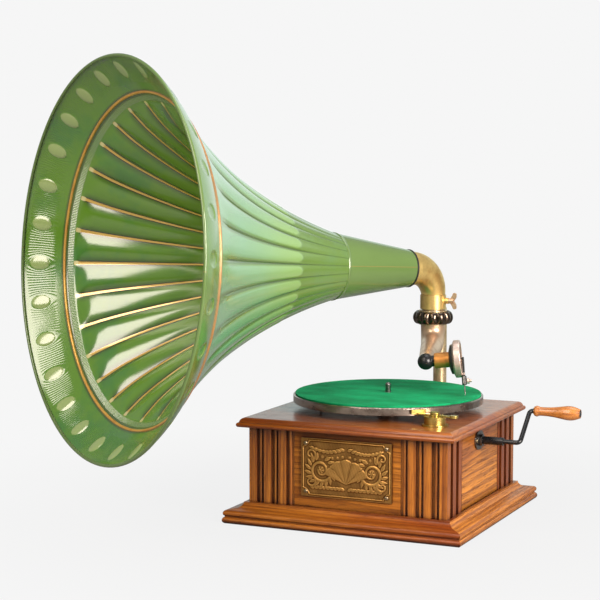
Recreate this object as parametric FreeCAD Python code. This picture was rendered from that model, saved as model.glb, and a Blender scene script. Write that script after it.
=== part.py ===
import FreeCAD, Part
import math
import os

V = FreeCAD.Vector
X = V(1, 0, 0)
Y = V(0, 1, 0)
Z = V(0, 0, 1)

# Case: body, boards and panels
case_width = 273.0
case_depth = 269.0
case_height = 137.5
bottom_board_thickness = 8.0
deck_thickness = 12.0
deck_overhang = 13.0
plinth_height = 26.5
plinth_overhang = 27.0
panel_thickness = 10.0
panel_recess = 3.0

# Plinth moulding, from the floor up
plinth_bead_height = 8.8
plinth_bead_depth = 3.0
plinth_groove_width = 1.0
plinth_step_height = 17.5
plinth_slope_rise = 2.0
plinth_cove_width = 5.0
plinth_ledge_width = 5.5

# Deck edge moulding
deck_nosing_height = 5.8
deck_fillet_width = 1.2
deck_slope_width = 6.0

# Corner pilasters: flats and flutes of one width, a reed in each flute
pilaster_thickness = 14.0
flute_width = 10.5
flute_count = 3
flute_depth = 4.0
reed_radius = 2.4

# Plaque on the front panel
plaque_width = 116.0
plaque_height = 67.0
plaque_thickness = 2.5
plaque_lift = 2.5
plaque_rim_width = 3.5
plaque_rim_height = 1.2
plaque_ear_radius = 6.5

# Fasteners
plaque_screw_radius = 1.5
plaque_screw_length = 7.0
bracket_screw_radius = 2.2
bracket_screw_length = 14.0
motor_screw_radius = 2.2
motor_screw_length = 10.0
escutcheon_screw_radius = 1.2
escutcheon_screw_length = 6.0
screw_hole_clearance = 0.1
screw_head_ratio = 1.9

# Turntable
spindle_y = 9.7
platter_diameter = 254.0
platter_rim_height = 10.0
platter_sheet = 2.0
platter_deck_gap = 10.0
platter_hub_radius = 14.0
platter_hub_depth = 11.0
mat_thickness = 2.0
mat_margin = 1.0
spindle_pin_radius = 3.6
spindle_pin_height = 13.0
spindle_seat_radius = 4.2
spindle_radius = 5.0
spindle_hole_radius = 17.0
mat_hole_clearance = 0.3

# Peg on the deck under the platter, placed by angle and distance from the spindle
peg_angle = -140.3
peg_distance = 93.5
peg_radius = 1.3
peg_height = 7.0
peg_head_radius = 3.0
peg_head_height = 1.6

# Brake on the deck, placed by angle and distance from the spindle
brake_angle = -45.2
brake_distance = 149.9
brake_drum_radius = 14.0
brake_drum_height = 12.0
brake_flange_radius = 17.0
brake_flange_height = 2.0
brake_lever_width = 7.0
brake_lever_thickness = 2.0
brake_tab_reach = 29.0
brake_tab_angle = -15.0
brake_pad_angle = -51.5
brake_pad_length = 18.0
brake_pad_thickness = 4.0
brake_pad_height = 6.0
brake_pad_gap = 0.5
brake_stud_radius = 3.0
brake_cap_radius = 6.0
brake_cap_height = 2.5

# Crank
crank_y = -7.0
crank_drop = 18.5
crank_shaft_radius = 4.0
crank_sleeve_radius = 5.2
crank_sleeve_gap = 5.0
crank_sleeve_length = 27.0
crank_rod_radius = 3.0
crank_straight = 22.0
crank_slant = 0.5
crank_bend_radius = 5.0
crank_throw = 55.0
crank_angle = 41.0
grip_length = 61.0
grip_radius = 8.75
grip_flange_radius = 7.0
grip_neck_radius = 5.2
grip_side_gap = 1.5
grip_cap_length = 3.0
grip_cap_radius = 5.0
escutcheon_width = 34.0
escutcheon_height = 25.0
escutcheon_thickness = 2.0
escutcheon_bush_radius = 7.5

# Bracket behind the case, horn pivot and tone-arm pivot on one upright axis
pivot_x = 10.0
pivot_y = 155.0
head_rise = 99.5
head_length = 20.0
head_radius = 24.0
head_lip_radius = 20.0
head_lip_length = 2.5
head_bore_radius = 13.0
spigot_radius = 15.5
spigot_length = 19.0
post_offset = 30.0
post_radius = 9.5
post_foot_height = 66.0
foot_width = 64.0
foot_height = 62.0
foot_thickness = 7.0
foot_screw_inset = 9.0
bracket_arm_height = 22.0

# Horn elbow
horn_axis_rise = 78.0
elbow_bend_radius = 38.0
elbow_wall = 1.5
elbow_foot_radius = 17.0
elbow_mouth_radius = 23.5
elbow_band_radius = 18.2
elbow_band_length = 19.5
elbow_band_gap = 2.0
elbow_spigot_length = 20.0
gasket_thickness = 2.5
gasket_lip = 0.6

# Wing screw in the elbow's band
wing_screw_radius = 2.0
wing_boss_radius = 4.2
wing_boss_length = 5.0
wing_hub_radius = 3.6
wing_hub_length = 7.0
wing_span = 20.0
wing_reach = 11.0
wing_thickness = 2.2

# Horn
horn_turn = 33.1
horn_elevation = 3.5
horn_reach = 511.0
mouth_radius = 257.0
horn_wall = 1.0
bell_length = 337.0
throat_radius = 46.0
band_depth = 45.0
band_radius = 212.0
band_bulge = 3.8
flare_rate = 0.0043
neck_end_radius = 26.0
neck_bead_radius = 1.6
rim_wire_radius = 2.2
petal_count = 28
petal_phase = -4.0
petal_start = 50.0
petal_rise = 20.0
petal_depth_ratio = 0.13
petal_fade = 60.0
petal_end_depth_ratio = 0.05

# Tone arm and sound box
arm_turn = 16.4
arm_reach = 141.8
arm_ball_rise = 64.5
arm_bend_radius = 25.0
arm_root_radius = 17.0
arm_tip_radius = 10.0
arm_wall = 1.2
arm_ball_radius = 11.0
arm_nut_radius = 14.8
arm_nut_thickness = 3.0
neck_tilt = 6.0
neck_length = 43.0
neck_pipe_radius = 7.4
sleeve_radius = 10.2
sleeve_length = 20.0
box_radius = 25.0
box_depth = 9.0
box_lip = 3.0
box_wall = 1.5
box_flange_radius = 20.0
box_flange_thickness = 5.0
box_back_thickness = 2.0
diaphragm_thickness = 0.4
stylus_bar_width = 3.0
needle_lean = 27.0
needle_gap = 0.4
needle_radius = 0.8
needle_length = 16.0
needle_point_length = 5.0
needle_holder_radius = 3.2
needle_holder_length = 11.0
needle_screw_radius = 1.2
needle_screw_head_radius = 4.0
needle_screw_head_length = 3.0

# Spring motor
plate_thickness = 3.0
plate_margin = 6.0
motor_depth = 71.5
pillar_radius = 4.0
barrel_x = 70.0
barrel_radius = 38.0
barrel_wall = 2.5
barrel_depth = 32.0
barrel_cover_thickness = 2.0
great_wheel_teeth = 84
great_wheel_module = 1.0
great_wheel_thickness = 4.0
inter_pinion_teeth = 12
inter_wheel_teeth = 60
inter_wheel_module = 0.8
inter_wheel_thickness = 4.0
spindle_pinion_teeth = 12
pinion_overlap = 1.5
wheel_level_gap = 3.0
wind_pinion_teeth = 10
wind_wheel_teeth = 20
wind_module = 1.25
wind_helix = 45.0
wind_pinion_width = 16.0
wind_wheel_width = 8.0
drive_wheel_teeth = 36
worm_starts = 3
drive_module = 1.0
drive_helix = 25.0
drive_wheel_width = 8.0
drive_wheel_lift = 17.0
worm_length = 10.0
arbor_radius = 5.0
journal_radius = 3.0
inter_arbor_radius = 2.5
spring_strip = 0.8
spring_turns = 7.0
spring_edge_gap = 1.5
governor_shaft_radius = 1.8
governor_collar_radius = 6.0
governor_collar_length = 6.0
governor_collar_offset = 22.0
governor_span = 36.0
governor_weight_radius = 4.5
governor_weight_height = 6.0
governor_spring_width = 4.0
governor_spring_thickness = 0.6
governor_bow = 3.0
governor_disc_radius = 14.0
governor_disc_thickness = 2.0
governor_weight_count = 3
bearing_thickness = 6.0
bearing_width = 9.0
pad_radius = 2.5
bearing_block_width = 16.0

# Running and standing clearances
running_gap = 0.05
body_gap = 0.4
end_gap = 0.5
gear_backlash = 0.14
pressure_angle = 25.0
addendum = 0.8
dedendum = 1.05

# Derived places
half_w = case_width / 2
half_d = case_depth / 2
deck_base = case_height - deck_thickness
body_base = bottom_board_thickness
pilaster_leg = 2 * flute_count * flute_width
panel_face_x = half_w - panel_recess
panel_face_y = half_d - panel_recess
spindle_at = V(0, spindle_y, 0)
platter_radius = platter_diameter / 2
rim_base = case_height + platter_deck_gap
platter_top = rim_base + platter_rim_height
mat_top = platter_top + mat_thickness
pivot_at = V(pivot_x, pivot_y, 0)
plaque_centre_height = (plinth_height + deck_base) / 2 + plaque_lift
crank_height = deck_base - crank_drop
head_base_height = case_height + head_rise
horn_axis_height = head_base_height + horn_axis_rise
arm_ball_height = case_height + arm_ball_rise
head_top = head_base_height + head_length
spigot_top = head_top + spigot_length
crank_at = V(0, crank_y, crank_height)


def sin(angle):
    return math.sin(math.radians(angle))


def cos(angle):
    return math.cos(math.radians(angle))


def tan(angle):
    return math.tan(math.radians(angle))


def polar(radius, angle, z=0.0):
    """Point at a radius and an angle in degrees, at height z."""
    return V(radius * cos(angle), radius * sin(angle), z)


def block(x0, x1, y0, y1, z0, z1):
    return Part.makeBox(x1 - x0, y1 - y0, z1 - z0, V(x0, y0, z0))


def rod(radius, start, end):
    """Cylinder between two points."""
    along = end.sub(start)
    return Part.makeCylinder(radius, along.Length, start, along)


def upright(radius, x, y, z0, z1):
    return Part.makeCylinder(radius, z1 - z0, V(x, y, z0))


def placed(shape, origin, z_axis, x_axis):
    """Move a shape built about the origin so its Z and X lie along the two axes given."""
    moved = shape.copy()
    y_axis = z_axis.cross(x_axis)
    turn = FreeCAD.Rotation(x_axis, y_axis, z_axis, "ZXY")
    moved.Placement = FreeCAD.Placement(origin, turn).multiply(moved.Placement)
    return moved


def outline(start, steps):
    """Closed face in XZ from a start and steps: one point is a line, two are an arc via the first."""
    edges = []
    here = V(start[0], 0, start[1])
    for step in steps:
        points = [V(p[0], 0, p[1]) for p in step]
        if len(points) == 1:
            edges.append(Part.makeLine(here, points[0]))
        else:
            edges.append(Part.Arc(here, points[0], points[1]).toShape())
        here = points[-1]
    edges.append(Part.makeLine(here, V(start[0], 0, start[1])))
    return Part.Face(Part.Wire(edges))


def turned(start, steps):
    """Solid of revolution about Z; the outline is in (radius, height)."""
    return outline(start, steps).revolve(V(0, 0, 0), Z, 360)


def lines(*points):
    return [(p,) for p in points]


def fused(shapes):
    whole = shapes[0]
    for shape in shapes[1:]:
        whole = whole.fuse(shape)
    return whole.removeSplitter()


def cut(shape, tools):
    for tool in tools:
        shape = shape.cut(tool)
    return shape


def one_solid(shape):
    return shape.Solids[0] if len(shape.Solids) == 1 else shape


def moulded_block(half_x, half_y, z_low, z_top, edge):
    """Board whose four edges all follow one moulding, mitred at the corners.

    edge lists steps of (overhang, height) points from the low edge up.
    """
    def bar(half, reach):
        right = [tuple((half + o, z) for o, z in step) for step in edge]
        left = []
        corners = [(0.0, z_low)] + [step[-1] for step in edge]
        for i in range(len(edge) - 1, -1, -1):
            back = list(edge[i][:-1]) + [corners[i]]
            left.append(tuple((-half - o, z) for o, z in back))
        join = [((-half, z_top),)]
        other_side = mirrored_start(edge, half) + left[:-1] + [((-half, z_low),)]
        face = outline((half, z_low), right + [((half, z_top),)] + join + other_side)
        face.translate(V(0, -reach, 0))
        return face.extrude(V(0, 2 * reach, 0))

    def mirrored_start(steps, half):
        o, z = steps[-1][-1]
        return [((-half - o, z),)]

    reach = max(half_x, half_y) + 2 * max(p[0] for step in edge for p in step)
    across = bar(half_x, reach)
    along = bar(half_y, reach).rotate(V(0, 0, 0), Z, 90)
    return across.common(along)


def screw(radius, length):
    """Slotted round-head screw standing on z = 0, its shank going down."""
    head_radius = screw_head_ratio * radius
    crown = 0.75 * head_radius
    flat = 0.25 * head_radius
    head = turned((0, 0), [
        ((head_radius, 0),),
        ((0.8 * head_radius, 0.7 * crown), (flat, crown)),
        ((0, crown),),
    ])
    slot = block(-head_radius, head_radius, -0.2 * radius, 0.2 * radius, 0.55 * crown, 2 * crown)
    return fused([head, Part.makeCylinder(radius, length, V(0, 0, -length))]).cut(slot)


def screw_hole(radius, length):
    return Part.makeCylinder(radius + screw_hole_clearance, length, V(0, 0, -length))


def tooth_half_angle(teeth, radius, base, pitch, at):
    """Half the angle a tooth spans at a radius, with the backlash taken off (radians)."""
    def involute(r):
        a = math.acos(min(1.0, base / r))
        return math.tan(a) - a
    thickness = math.pi * radius / teeth - pitch
    return thickness / (2 * radius) + involute(radius) - involute(at)


def gear_radii(teeth, module, helix=0.0):
    """Pitch, base, tip and root radius of a gear cut by its normal module."""
    pitch = teeth * module / (2 * cos(helix))
    transverse = math.degrees(math.atan(tan(pressure_angle) / cos(helix)))
    return pitch, pitch * cos(transverse), pitch + addendum * module, pitch - dedendum * module


def tooth_points(teeth, module, helix, phase):
    """Corner points of a gear's section, tooth by tooth, with a tooth centred on the phase (degrees)."""
    pitch, base, tip, root = gear_radii(teeth, module, helix)
    start = max(base, root) * 1.0005
    loss = gear_backlash * module / cos(helix)
    levels = [start, (start + pitch) / 2, (pitch + tip) / 2, tip]
    halves = [math.degrees(tooth_half_angle(teeth, pitch, base, loss, r)) for r in levels]
    points = []
    for i in range(teeth):
        middle = phase + 360.0 * i / teeth
        side = [(root, middle - halves[0])]
        side += [(r, middle - a) for r, a in zip(levels, halves)]
        other = [(r, middle + a) for r, a in zip(reversed(levels), reversed(halves))]
        other.append((root, middle + halves[0]))
        points += side + other
    return points


def section_wire(points, z, turn):
    corners = [polar(r, a + turn, z) for r, a in points]
    return Part.makePolygon(corners + [corners[0]])


def spur_gear(teeth, module, z0, z1, phase):
    wire = section_wire(tooth_points(teeth, module, 0.0, phase), z0, 0.0)
    return Part.Face(wire).extrude(V(0, 0, z1 - z0))


def helical_gear(teeth, module, helix, width, phase):
    """Right-handed helical gear about Z, its middle at z = 0, lofted from turned sections."""
    pitch = gear_radii(teeth, module, helix)[0]
    twist = math.degrees(tan(helix) / pitch)
    step_limit = min(12.0, 0.28 * 360.0 / teeth)
    count = int(math.ceil(abs(twist) * width / step_limit))
    points = tooth_points(teeth, module, helix, phase)
    wires = []
    for i in range(count + 1):
        z = -width / 2 + width * i / count
        wires.append(section_wire(points, z, twist * z))
    return Part.makeLoft(wires, True, True)


def ring_wire(centre, normal, side, radius):
    """Circle with its seam on the side direction, so lofts along a path don't twist."""
    circle = Part.makeCircle(radius)
    return placed(Part.Wire([circle]), centre, normal, side)


def bent_tube(stations, side):
    """Loft of circles; each station is (centre, direction, radius)."""
    wires = [ring_wire(c, d, side, r) for c, d, r in stations]
    return Part.makeLoft(wires, True, False)


def mitred_plinth():
    o = plinth_overhang
    h = plinth_bead_height
    groove_top = h + plinth_groove_width
    step = plinth_step_height
    slope_top = step + plinth_slope_rise
    ledge = plinth_ledge_width
    cove = ledge + plinth_cove_width
    bead = plinth_bead_depth
    cove_top = (slope_top + 3 * plinth_height) / 4
    edge = [
        ((o - bead, 0),),
        ((o, h / 2), (o - bead, h)),
        ((o - bead, groove_top),),
        ((o - bead / 3, (groove_top + step) / 2), (o - 1.6 * bead, step)),
        ((cove, slope_top),),
        ((ledge + 0.35 * plinth_cove_width, (slope_top + cove_top) / 2), (ledge, cove_top)),
        ((ledge, plinth_height),),
    ]
    whole = moulded_block(half_w, half_d, 0.0, plinth_height, edge)
    frame = whole.cut(block(-half_w, half_w, -half_d, half_d, -1, plinth_height + 1))
    inner = [V(-half_w, -half_d, -1), V(half_w, -half_d, -1), V(half_w, half_d, -1), V(-half_w, half_d, -1)]
    far = 2 * o
    outer = [V(p.x + math.copysign(far, p.x), p.y + math.copysign(far, p.y), -1) for p in inner]
    lengths = []
    for i in range(4):
        j = (i + 1) % 4
        corners = [inner[i], inner[j], outer[j], outer[i], inner[i]]
        wedge = Part.Face(Part.makePolygon(corners)).extrude(V(0, 0, plinth_height + 2))
        lengths.append(one_solid(frame.common(wedge)))
    return Part.makeCompound(lengths)


def deck_blank():
    o = deck_overhang
    nose = deck_base + deck_nosing_height
    inset = 0.5 * deck_nosing_height
    fillet = o - inset * 0.6 - deck_fillet_width
    edge = [
        ((o - inset * 0.6, deck_base),),
        ((o, (deck_base + nose) / 2), (o - inset * 0.6, nose)),
        ((fillet, nose),),
        ((fillet - 0.3 * deck_slope_width, nose + 0.65 * (case_height - nose)),
         (fillet - deck_slope_width, case_height)),
    ]
    return moulded_block(half_w, half_d, deck_base, case_height, edge)


def corner_pilaster():
    """Front right pilaster: an L in plan, fluted on both faces, with a reed in each flute."""
    leg = pilaster_leg
    t = pilaster_thickness
    z0 = body_base
    height = deck_base - z0
    plan = [(0, 0), (-leg, 0), (-leg, t), (-t, t), (-t, leg), (0, leg), (0, 0)]
    corners = [V(half_w + x, -half_d + y, z0) for x, y in plan]
    solid = Part.Face(Part.makePolygon(corners)).extrude(V(0, 0, height))
    cuts = []
    reeds = []
    for i in range(flute_count):
        near = (2 * i + 1) * flute_width
        far = near + flute_width
        middle = (near + far) / 2
        cuts.append(block(half_w - far, half_w - near, -half_d - 1, -half_d + flute_depth, z0, deck_base))
        cuts.append(block(half_w - flute_depth, half_w + 1, -half_d + near, -half_d + far, z0, deck_base))
        reeds.append(upright(reed_radius, half_w - middle, -half_d + flute_depth, z0, deck_base))
        reeds.append(upright(reed_radius, half_w - flute_depth, -half_d + middle, z0, deck_base))
    return fused([cut(solid, cuts)] + reeds)


def build_case():
    parts = {}
    parts["bottom_board"] = block(-half_w, half_w, -half_d, half_d, 0, body_base)
    parts["plinth"] = mitred_plinth()
    corner = corner_pilaster()
    right_side = [corner, corner.mirror(V(0, 0, 0), Y)]
    left_side = [shape.mirror(V(0, 0, 0), X) for shape in right_side]
    parts["corner_pilasters"] = Part.makeCompound(right_side + left_side)
    panel_x = half_w - pilaster_leg
    panel_y = half_d - pilaster_leg
    back_y = panel_face_y - panel_thickness
    back_x = panel_face_x - panel_thickness
    front = block(-panel_x, panel_x, -panel_face_y, -back_y, body_base, deck_base)
    back = block(-panel_x, panel_x, back_y, panel_face_y, body_base, deck_base)
    left = block(-panel_face_x, -back_x, -panel_y, panel_y, body_base, deck_base)
    right = block(back_x, panel_face_x, -panel_y, panel_y, body_base, deck_base)
    parts["front_panel"] = cut(front, plaque_screws(screw_hole))
    parts["back_panel"] = cut(back, bracket_screws(screw_hole))
    parts["left_panel"] = left
    bush = crank_shaft_radius + 2 * body_gap
    shaft_way = rod(bush, V(back_x - 1, crank_y, crank_height), V(panel_face_x + 1, crank_y, crank_height))
    parts["right_panel"] = cut(right, [shaft_way] + escutcheon_screws(screw_hole))
    stud = brake_at()
    deck_cuts = [upright(spindle_hole_radius, 0, spindle_y, deck_base - 1, case_height + 1)]
    deck_cuts.append(upright(brake_stud_radius, stud.x, stud.y, deck_base - 1, case_height + 1))
    peg = deck_peg()
    deck_cuts.append(peg)
    parts["deck_board"] = cut(deck_blank(), deck_cuts + motor_screws(screw_hole))
    parts["deck_peg"] = peg
    parts["plaque"] = plaque()
    parts["plaque_screws"] = Part.makeCompound(plaque_screws(screw))
    parts["crank_escutcheon"] = escutcheon()
    parts["escutcheon_screws"] = Part.makeCompound(escutcheon_screws(screw))
    return parts


def deck_peg():
    """A round peg let into the deck to half its thickness, with a flat head under the platter."""
    top = case_height + peg_height
    peg = turned((0, case_height - deck_thickness / 2), [
        ((peg_radius, case_height - deck_thickness / 2),),
        ((peg_radius, top - peg_head_height),),
        ((peg_head_radius, top - peg_head_height / 2),),
        ((peg_head_radius, top),),
        ((0, top),),
    ])
    peg.translate(spindle_at.add(polar(peg_distance, peg_angle)))
    return peg


def plaque_ears():
    """Centres of the four screw ears, a little outside the plaque's corners."""
    inset = 0.35 * plaque_ear_radius
    x = plaque_width / 2 - inset
    z = plaque_height / 2 - inset
    return [V(sx * x, 0, plaque_centre_height + sz * z) for sx in (-1, 1) for sz in (-1, 1)]


def plaque():
    face = -panel_face_y
    front = face - plaque_thickness
    half_x = plaque_width / 2
    z0 = plaque_centre_height - plaque_height / 2
    z1 = plaque_centre_height + plaque_height / 2
    sheet = block(-half_x, half_x, front, face, z0, z1)
    rim = block(-half_x, half_x, front - plaque_rim_height, face, z0, z1)
    w = plaque_rim_width
    field = block(-half_x + w, half_x - w, front - 2 * plaque_rim_height, front, z0 + w, z1 - w)
    shapes = [rim.cut(field)]
    for ear in plaque_ears():
        ear_front = V(ear.x, front - plaque_rim_height, ear.z)
        shapes.append(rod(plaque_ear_radius, ear_front, V(ear.x, face, ear.z)))
    return one_solid(cut(fused([sheet] + shapes), plaque_screws(screw_hole)))


def plaque_screws(maker):
    made = []
    for ear in plaque_ears():
        seat = V(ear.x, -panel_face_y - plaque_thickness - plaque_rim_height, ear.z)
        reach = plaque_screw_length + plaque_thickness + plaque_rim_height
        made.append(placed(maker(plaque_screw_radius, reach), seat, V(0, -1, 0), X))
    return made


def escutcheon_screws(maker):
    made = []
    for side in (-1, 1):
        y = crank_y + side * 0.36 * escutcheon_width
        seat = V(panel_face_x + escutcheon_thickness, y, crank_height)
        reach = escutcheon_screw_length + escutcheon_thickness
        made.append(placed(maker(escutcheon_screw_radius, reach), seat, X, Y))
    return made


def escutcheon():
    """Oval plate with the bush that carries the winding shaft."""
    oval = Part.Ellipse(V(0, 0, 0), escutcheon_width / 2, escutcheon_height / 2).toShape()
    sheet = Part.Face(Part.Wire([oval])).extrude(V(0, 0, escutcheon_thickness))
    bush_length = escutcheon_thickness + crank_sleeve_gap - body_gap
    bush = Part.makeCylinder(escutcheon_bush_radius, bush_length)
    bore = Part.makeCylinder(crank_shaft_radius + running_gap, 2 * bush_length, V(0, 0, -1))
    shape = fused([sheet, bush]).cut(bore)
    shape = placed(shape, V(panel_face_x, crank_y, crank_height), X, Y)
    return cut(shape, escutcheon_screws(screw_hole))


def head_screw_places():
    z_mid = post_foot_height + bracket_arm_height / 2
    dx = foot_width / 2 - foot_screw_inset
    dz = foot_height / 2 - foot_screw_inset
    return [(pivot_x + sx * dx, z_mid + sz * dz) for sx in (-1, 1) for sz in (-1, 1)]


def bracket_screws(maker):
    made = []
    for x, z in head_screw_places():
        seat = V(x, panel_face_y + foot_thickness, z)
        made.append(placed(maker(bracket_screw_radius, bracket_screw_length), seat, Y, X))
    return made


def build_bracket():
    """Casting: foot on the back panel, arm, post, and the head with the horn's spigot."""
    face = panel_face_y
    z_mid = post_foot_height + bracket_arm_height / 2
    foot = block(pivot_x - foot_width / 2, pivot_x + foot_width / 2, face, face + foot_thickness,
                 z_mid - foot_height / 2, z_mid + foot_height / 2)
    post_y = pivot_y + post_offset
    arm = block(pivot_x - post_radius, pivot_x + post_radius, face, post_y,
                post_foot_height, post_foot_height + bracket_arm_height)
    post = upright(post_radius, pivot_x, post_y, post_foot_height, head_top - head_lip_length)
    dome = Part.makeSphere(post_radius, V(pivot_x, post_y, head_top - head_lip_length))
    low_dome = Part.makeSphere(post_radius, V(pivot_x, post_y, post_foot_height + post_radius))
    lip_low = head_base_height + head_lip_length
    lip_high = head_top - head_lip_length
    head = turned((head_bore_radius, head_base_height), [
        ((head_lip_radius, head_base_height),),
        ((head_lip_radius, lip_low),),
        ((head_radius, (lip_low + lip_high) / 2), (head_lip_radius, lip_high)),
        ((head_lip_radius, head_top),),
        ((spigot_radius, head_top),),
        ((spigot_radius, spigot_top),),
        ((head_bore_radius, spigot_top),),
    ])
    head.translate(pivot_at)
    bridge_z0 = lip_low
    bridge = block(pivot_x - post_radius, pivot_x + post_radius, pivot_y + head_bore_radius + 2, post_y,
                   bridge_z0, lip_high)
    casting = fused([foot, arm, low_dome, post, dome, head, bridge])
    bore = upright(head_bore_radius, pivot_x, pivot_y, head_base_height - 1, spigot_top + 1)
    casting = cut(casting, bracket_screws(screw_hole) + [bore])
    return {
        "back_bracket": one_solid(casting),
        "bracket_screws": Part.makeCompound(bracket_screws(screw)),
    }


def build_turntable():
    parts = {}
    r = platter_radius
    hub_base = platter_top - platter_sheet - platter_hub_depth
    skirt = r - platter_sheet
    under = platter_top - platter_sheet
    soft = 0.8 * platter_sheet
    platter = turned((spindle_seat_radius, platter_top), [
        ((spindle_seat_radius, hub_base),),
        ((platter_hub_radius, hub_base),),
        ((platter_hub_radius, under),),
        ((skirt, under),),
        ((skirt, rim_base),),
        ((r, rim_base),),
        ((r, platter_top - soft),),
        ((r - 0.3 * soft, platter_top - 0.3 * soft), (r - soft, platter_top)),
    ])
    platter.translate(spindle_at)
    parts["platter"] = platter
    mat_radius = r - mat_margin - soft
    mat = Part.makeCylinder(mat_radius, mat_thickness, V(0, spindle_y, platter_top))
    hole_radius = spindle_seat_radius + mat_hole_clearance
    hole = Part.makeCylinder(hole_radius, mat_thickness, V(0, spindle_y, platter_top))
    parts["felt_mat"] = mat.cut(hole)
    top = mat_top + spindle_pin_height
    foot = plate_low_top() - plate_thickness
    journal_top = plate_low_top() + end_gap
    tip = spindle_pin_radius
    shaft = turned((0, foot), [
        ((journal_radius, foot),),
        ((journal_radius, journal_top),),
        ((spindle_radius, journal_top),),
        ((spindle_radius, hub_base),),
        ((spindle_seat_radius, hub_base),),
        ((spindle_seat_radius, mat_top),),
        ((tip, mat_top),),
        ((tip, top - tip),),
        ((0.78 * tip, top - 0.3 * tip), (0.3 * tip, top)),
        ((0, top),),
    ])
    level = inter_wheel_level()
    pinion_low = level - pinion_overlap
    pinion_top = level + inter_wheel_thickness + pinion_overlap
    pinion = spur_gear(spindle_pinion_teeth, inter_wheel_module, pinion_low, pinion_top, pinion_phase())
    thin = upright(spindle_radius * 2, 0, 0, pinion_low, pinion_top)
    shaft = fused([shaft.cut(thin), pinion])
    shaft.translate(spindle_at)
    parts["spindle"] = one_solid(shaft)
    wheel = helical_gear(drive_wheel_teeth, drive_module, drive_helix, drive_wheel_width, 180.0)
    wheel = wheel.cut(Part.makeCylinder(spindle_radius, 2 * drive_wheel_width, V(0, 0, -drive_wheel_width)))
    wheel.translate(V(0, spindle_y, drive_wheel_level()))
    parts["governor_drive_wheel"] = wheel
    return parts


def brake_at():
    return spindle_at.add(polar(brake_distance, brake_angle))


def build_brake():
    parts = {}
    at = brake_at()
    z0 = case_height
    flange_top = z0 + brake_flange_height
    drum_top = z0 + brake_drum_height
    lever_z0 = drum_top + body_gap
    lever_z1 = lever_z0 + brake_lever_thickness
    cap_z0 = lever_z1 + body_gap
    drum = fused([
        upright(brake_flange_radius, at.x, at.y, z0, flange_top),
        upright(brake_drum_radius, at.x, at.y, z0, drum_top),
        upright(brake_stud_radius, at.x, at.y, deck_base, cap_z0),
        upright(brake_cap_radius, at.x, at.y, cap_z0, cap_z0 + brake_cap_height),
    ])
    parts["brake_base"] = drum
    pad_inner = platter_radius + brake_pad_gap
    pad_outer = pad_inner + brake_pad_thickness
    pad_half = math.degrees(brake_pad_length / 2 / pad_inner)
    pad_z0 = lever_z0
    a0 = brake_pad_angle - pad_half
    a1 = brake_pad_angle + pad_half

    def sector(r0, r1, z, height):
        ends = [polar(r0, a0, z), polar(r0, a1, z), polar(r1, a1, z), polar(r1, a0, z)]
        inner = Part.Arc(ends[0], polar(r0, brake_pad_angle, z), ends[1]).toShape()
        outer = Part.Arc(ends[2], polar(r1, brake_pad_angle, z), ends[3]).toShape()
        sides = [Part.makeLine(ends[1], ends[2]), Part.makeLine(ends[3], ends[0])]
        face = Part.Face(Part.Wire([inner, sides[0], outer, sides[1]]))
        shape = face.extrude(V(0, 0, height))
        shape.translate(spindle_at)
        return shape

    pad_z1 = pad_z0 + brake_pad_height
    parts["brake_pad"] = sector(pad_inner, pad_outer, pad_z0, brake_pad_height)
    holder = sector(pad_outer, pad_outer + brake_lever_thickness, pad_z0, brake_pad_height)
    grip = spindle_at.add(polar(pad_outer + brake_lever_thickness / 2, brake_pad_angle))
    tab = at.add(polar(brake_tab_reach, brake_tab_angle))
    strip = lever_strip([grip, at, tab], lever_z0, lever_z1)
    knob = upright(0.75 * brake_lever_width, tab.x, tab.y, lever_z0, lever_z1 + brake_cap_height / 2)
    eye = upright(brake_cap_radius + 1, at.x, at.y, lever_z0, lever_z1)
    clear = upright(brake_stud_radius + running_gap, at.x, at.y, lever_z0 - 1, lever_z1 + 1)
    keep_out = Part.makeCylinder(pad_outer, 2 * (pad_z1 - pad_z0), V(0, spindle_y, pad_z0 - 1))
    lever = fused([strip.cut(keep_out), holder, knob, eye]).cut(clear)
    parts["brake_lever"] = one_solid(lever)
    return parts


def lever_strip(points, z0, z1):
    """Flat strip of the lever's width along straight runs with round turns."""
    shapes = []
    half = brake_lever_width / 2
    for start, end in zip(points[:-1], points[1:]):
        along = end.sub(start)
        run = block(0, along.Length, -half, half, z0, z1)
        direction = V(along.x, along.y, 0)
        direction.normalize()
        shapes.append(placed(run, V(start.x, start.y, 0), Z, direction))
    for point in points[1:]:
        shapes.append(upright(half, point.x, point.y, z0, z1))
    return fused(shapes)


def crank_path():
    """Corner points of the crank rod's axis, from the sleeve out to the grip's pin."""
    start = panel_face_x + escutcheon_thickness + crank_sleeve_gap
    shoulder = start + crank_sleeve_length + crank_straight
    lift = V(0, crank_throw * cos(crank_angle), crank_throw * sin(crank_angle))
    a = V(start, crank_y, crank_height)
    b = V(shoulder, crank_y, crank_height)
    c = V(shoulder + crank_slant, crank_y, crank_height).add(lift)
    return a, b, c


def rounded_path(points, radius):
    """Wire through corner points with an arc of the given radius at each inner corner."""
    edges = []
    here = points[0]
    for before, corner, after in zip(points[:-2], points[1:-1], points[2:]):
        into = corner.sub(before)
        into.normalize()
        out = after.sub(corner)
        out.normalize()
        turn = math.acos(max(-1.0, min(1.0, into.dot(out))))
        back = radius * math.tan(turn / 2)
        first = corner.sub(into * back)
        last = corner.add(out * back)
        centre_way = out.sub(into)
        centre_way.normalize()
        middle = corner.add(centre_way * (radius / math.cos(turn / 2) - radius))
        edges.append(Part.makeLine(here, first))
        edges.append(Part.Arc(first, middle, last).toShape())
        here = last
    edges.append(Part.makeLine(here, points[-1]))
    return Part.Wire(edges)


def grip_pin_start():
    return crank_path()[2].x + crank_bend_radius


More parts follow.
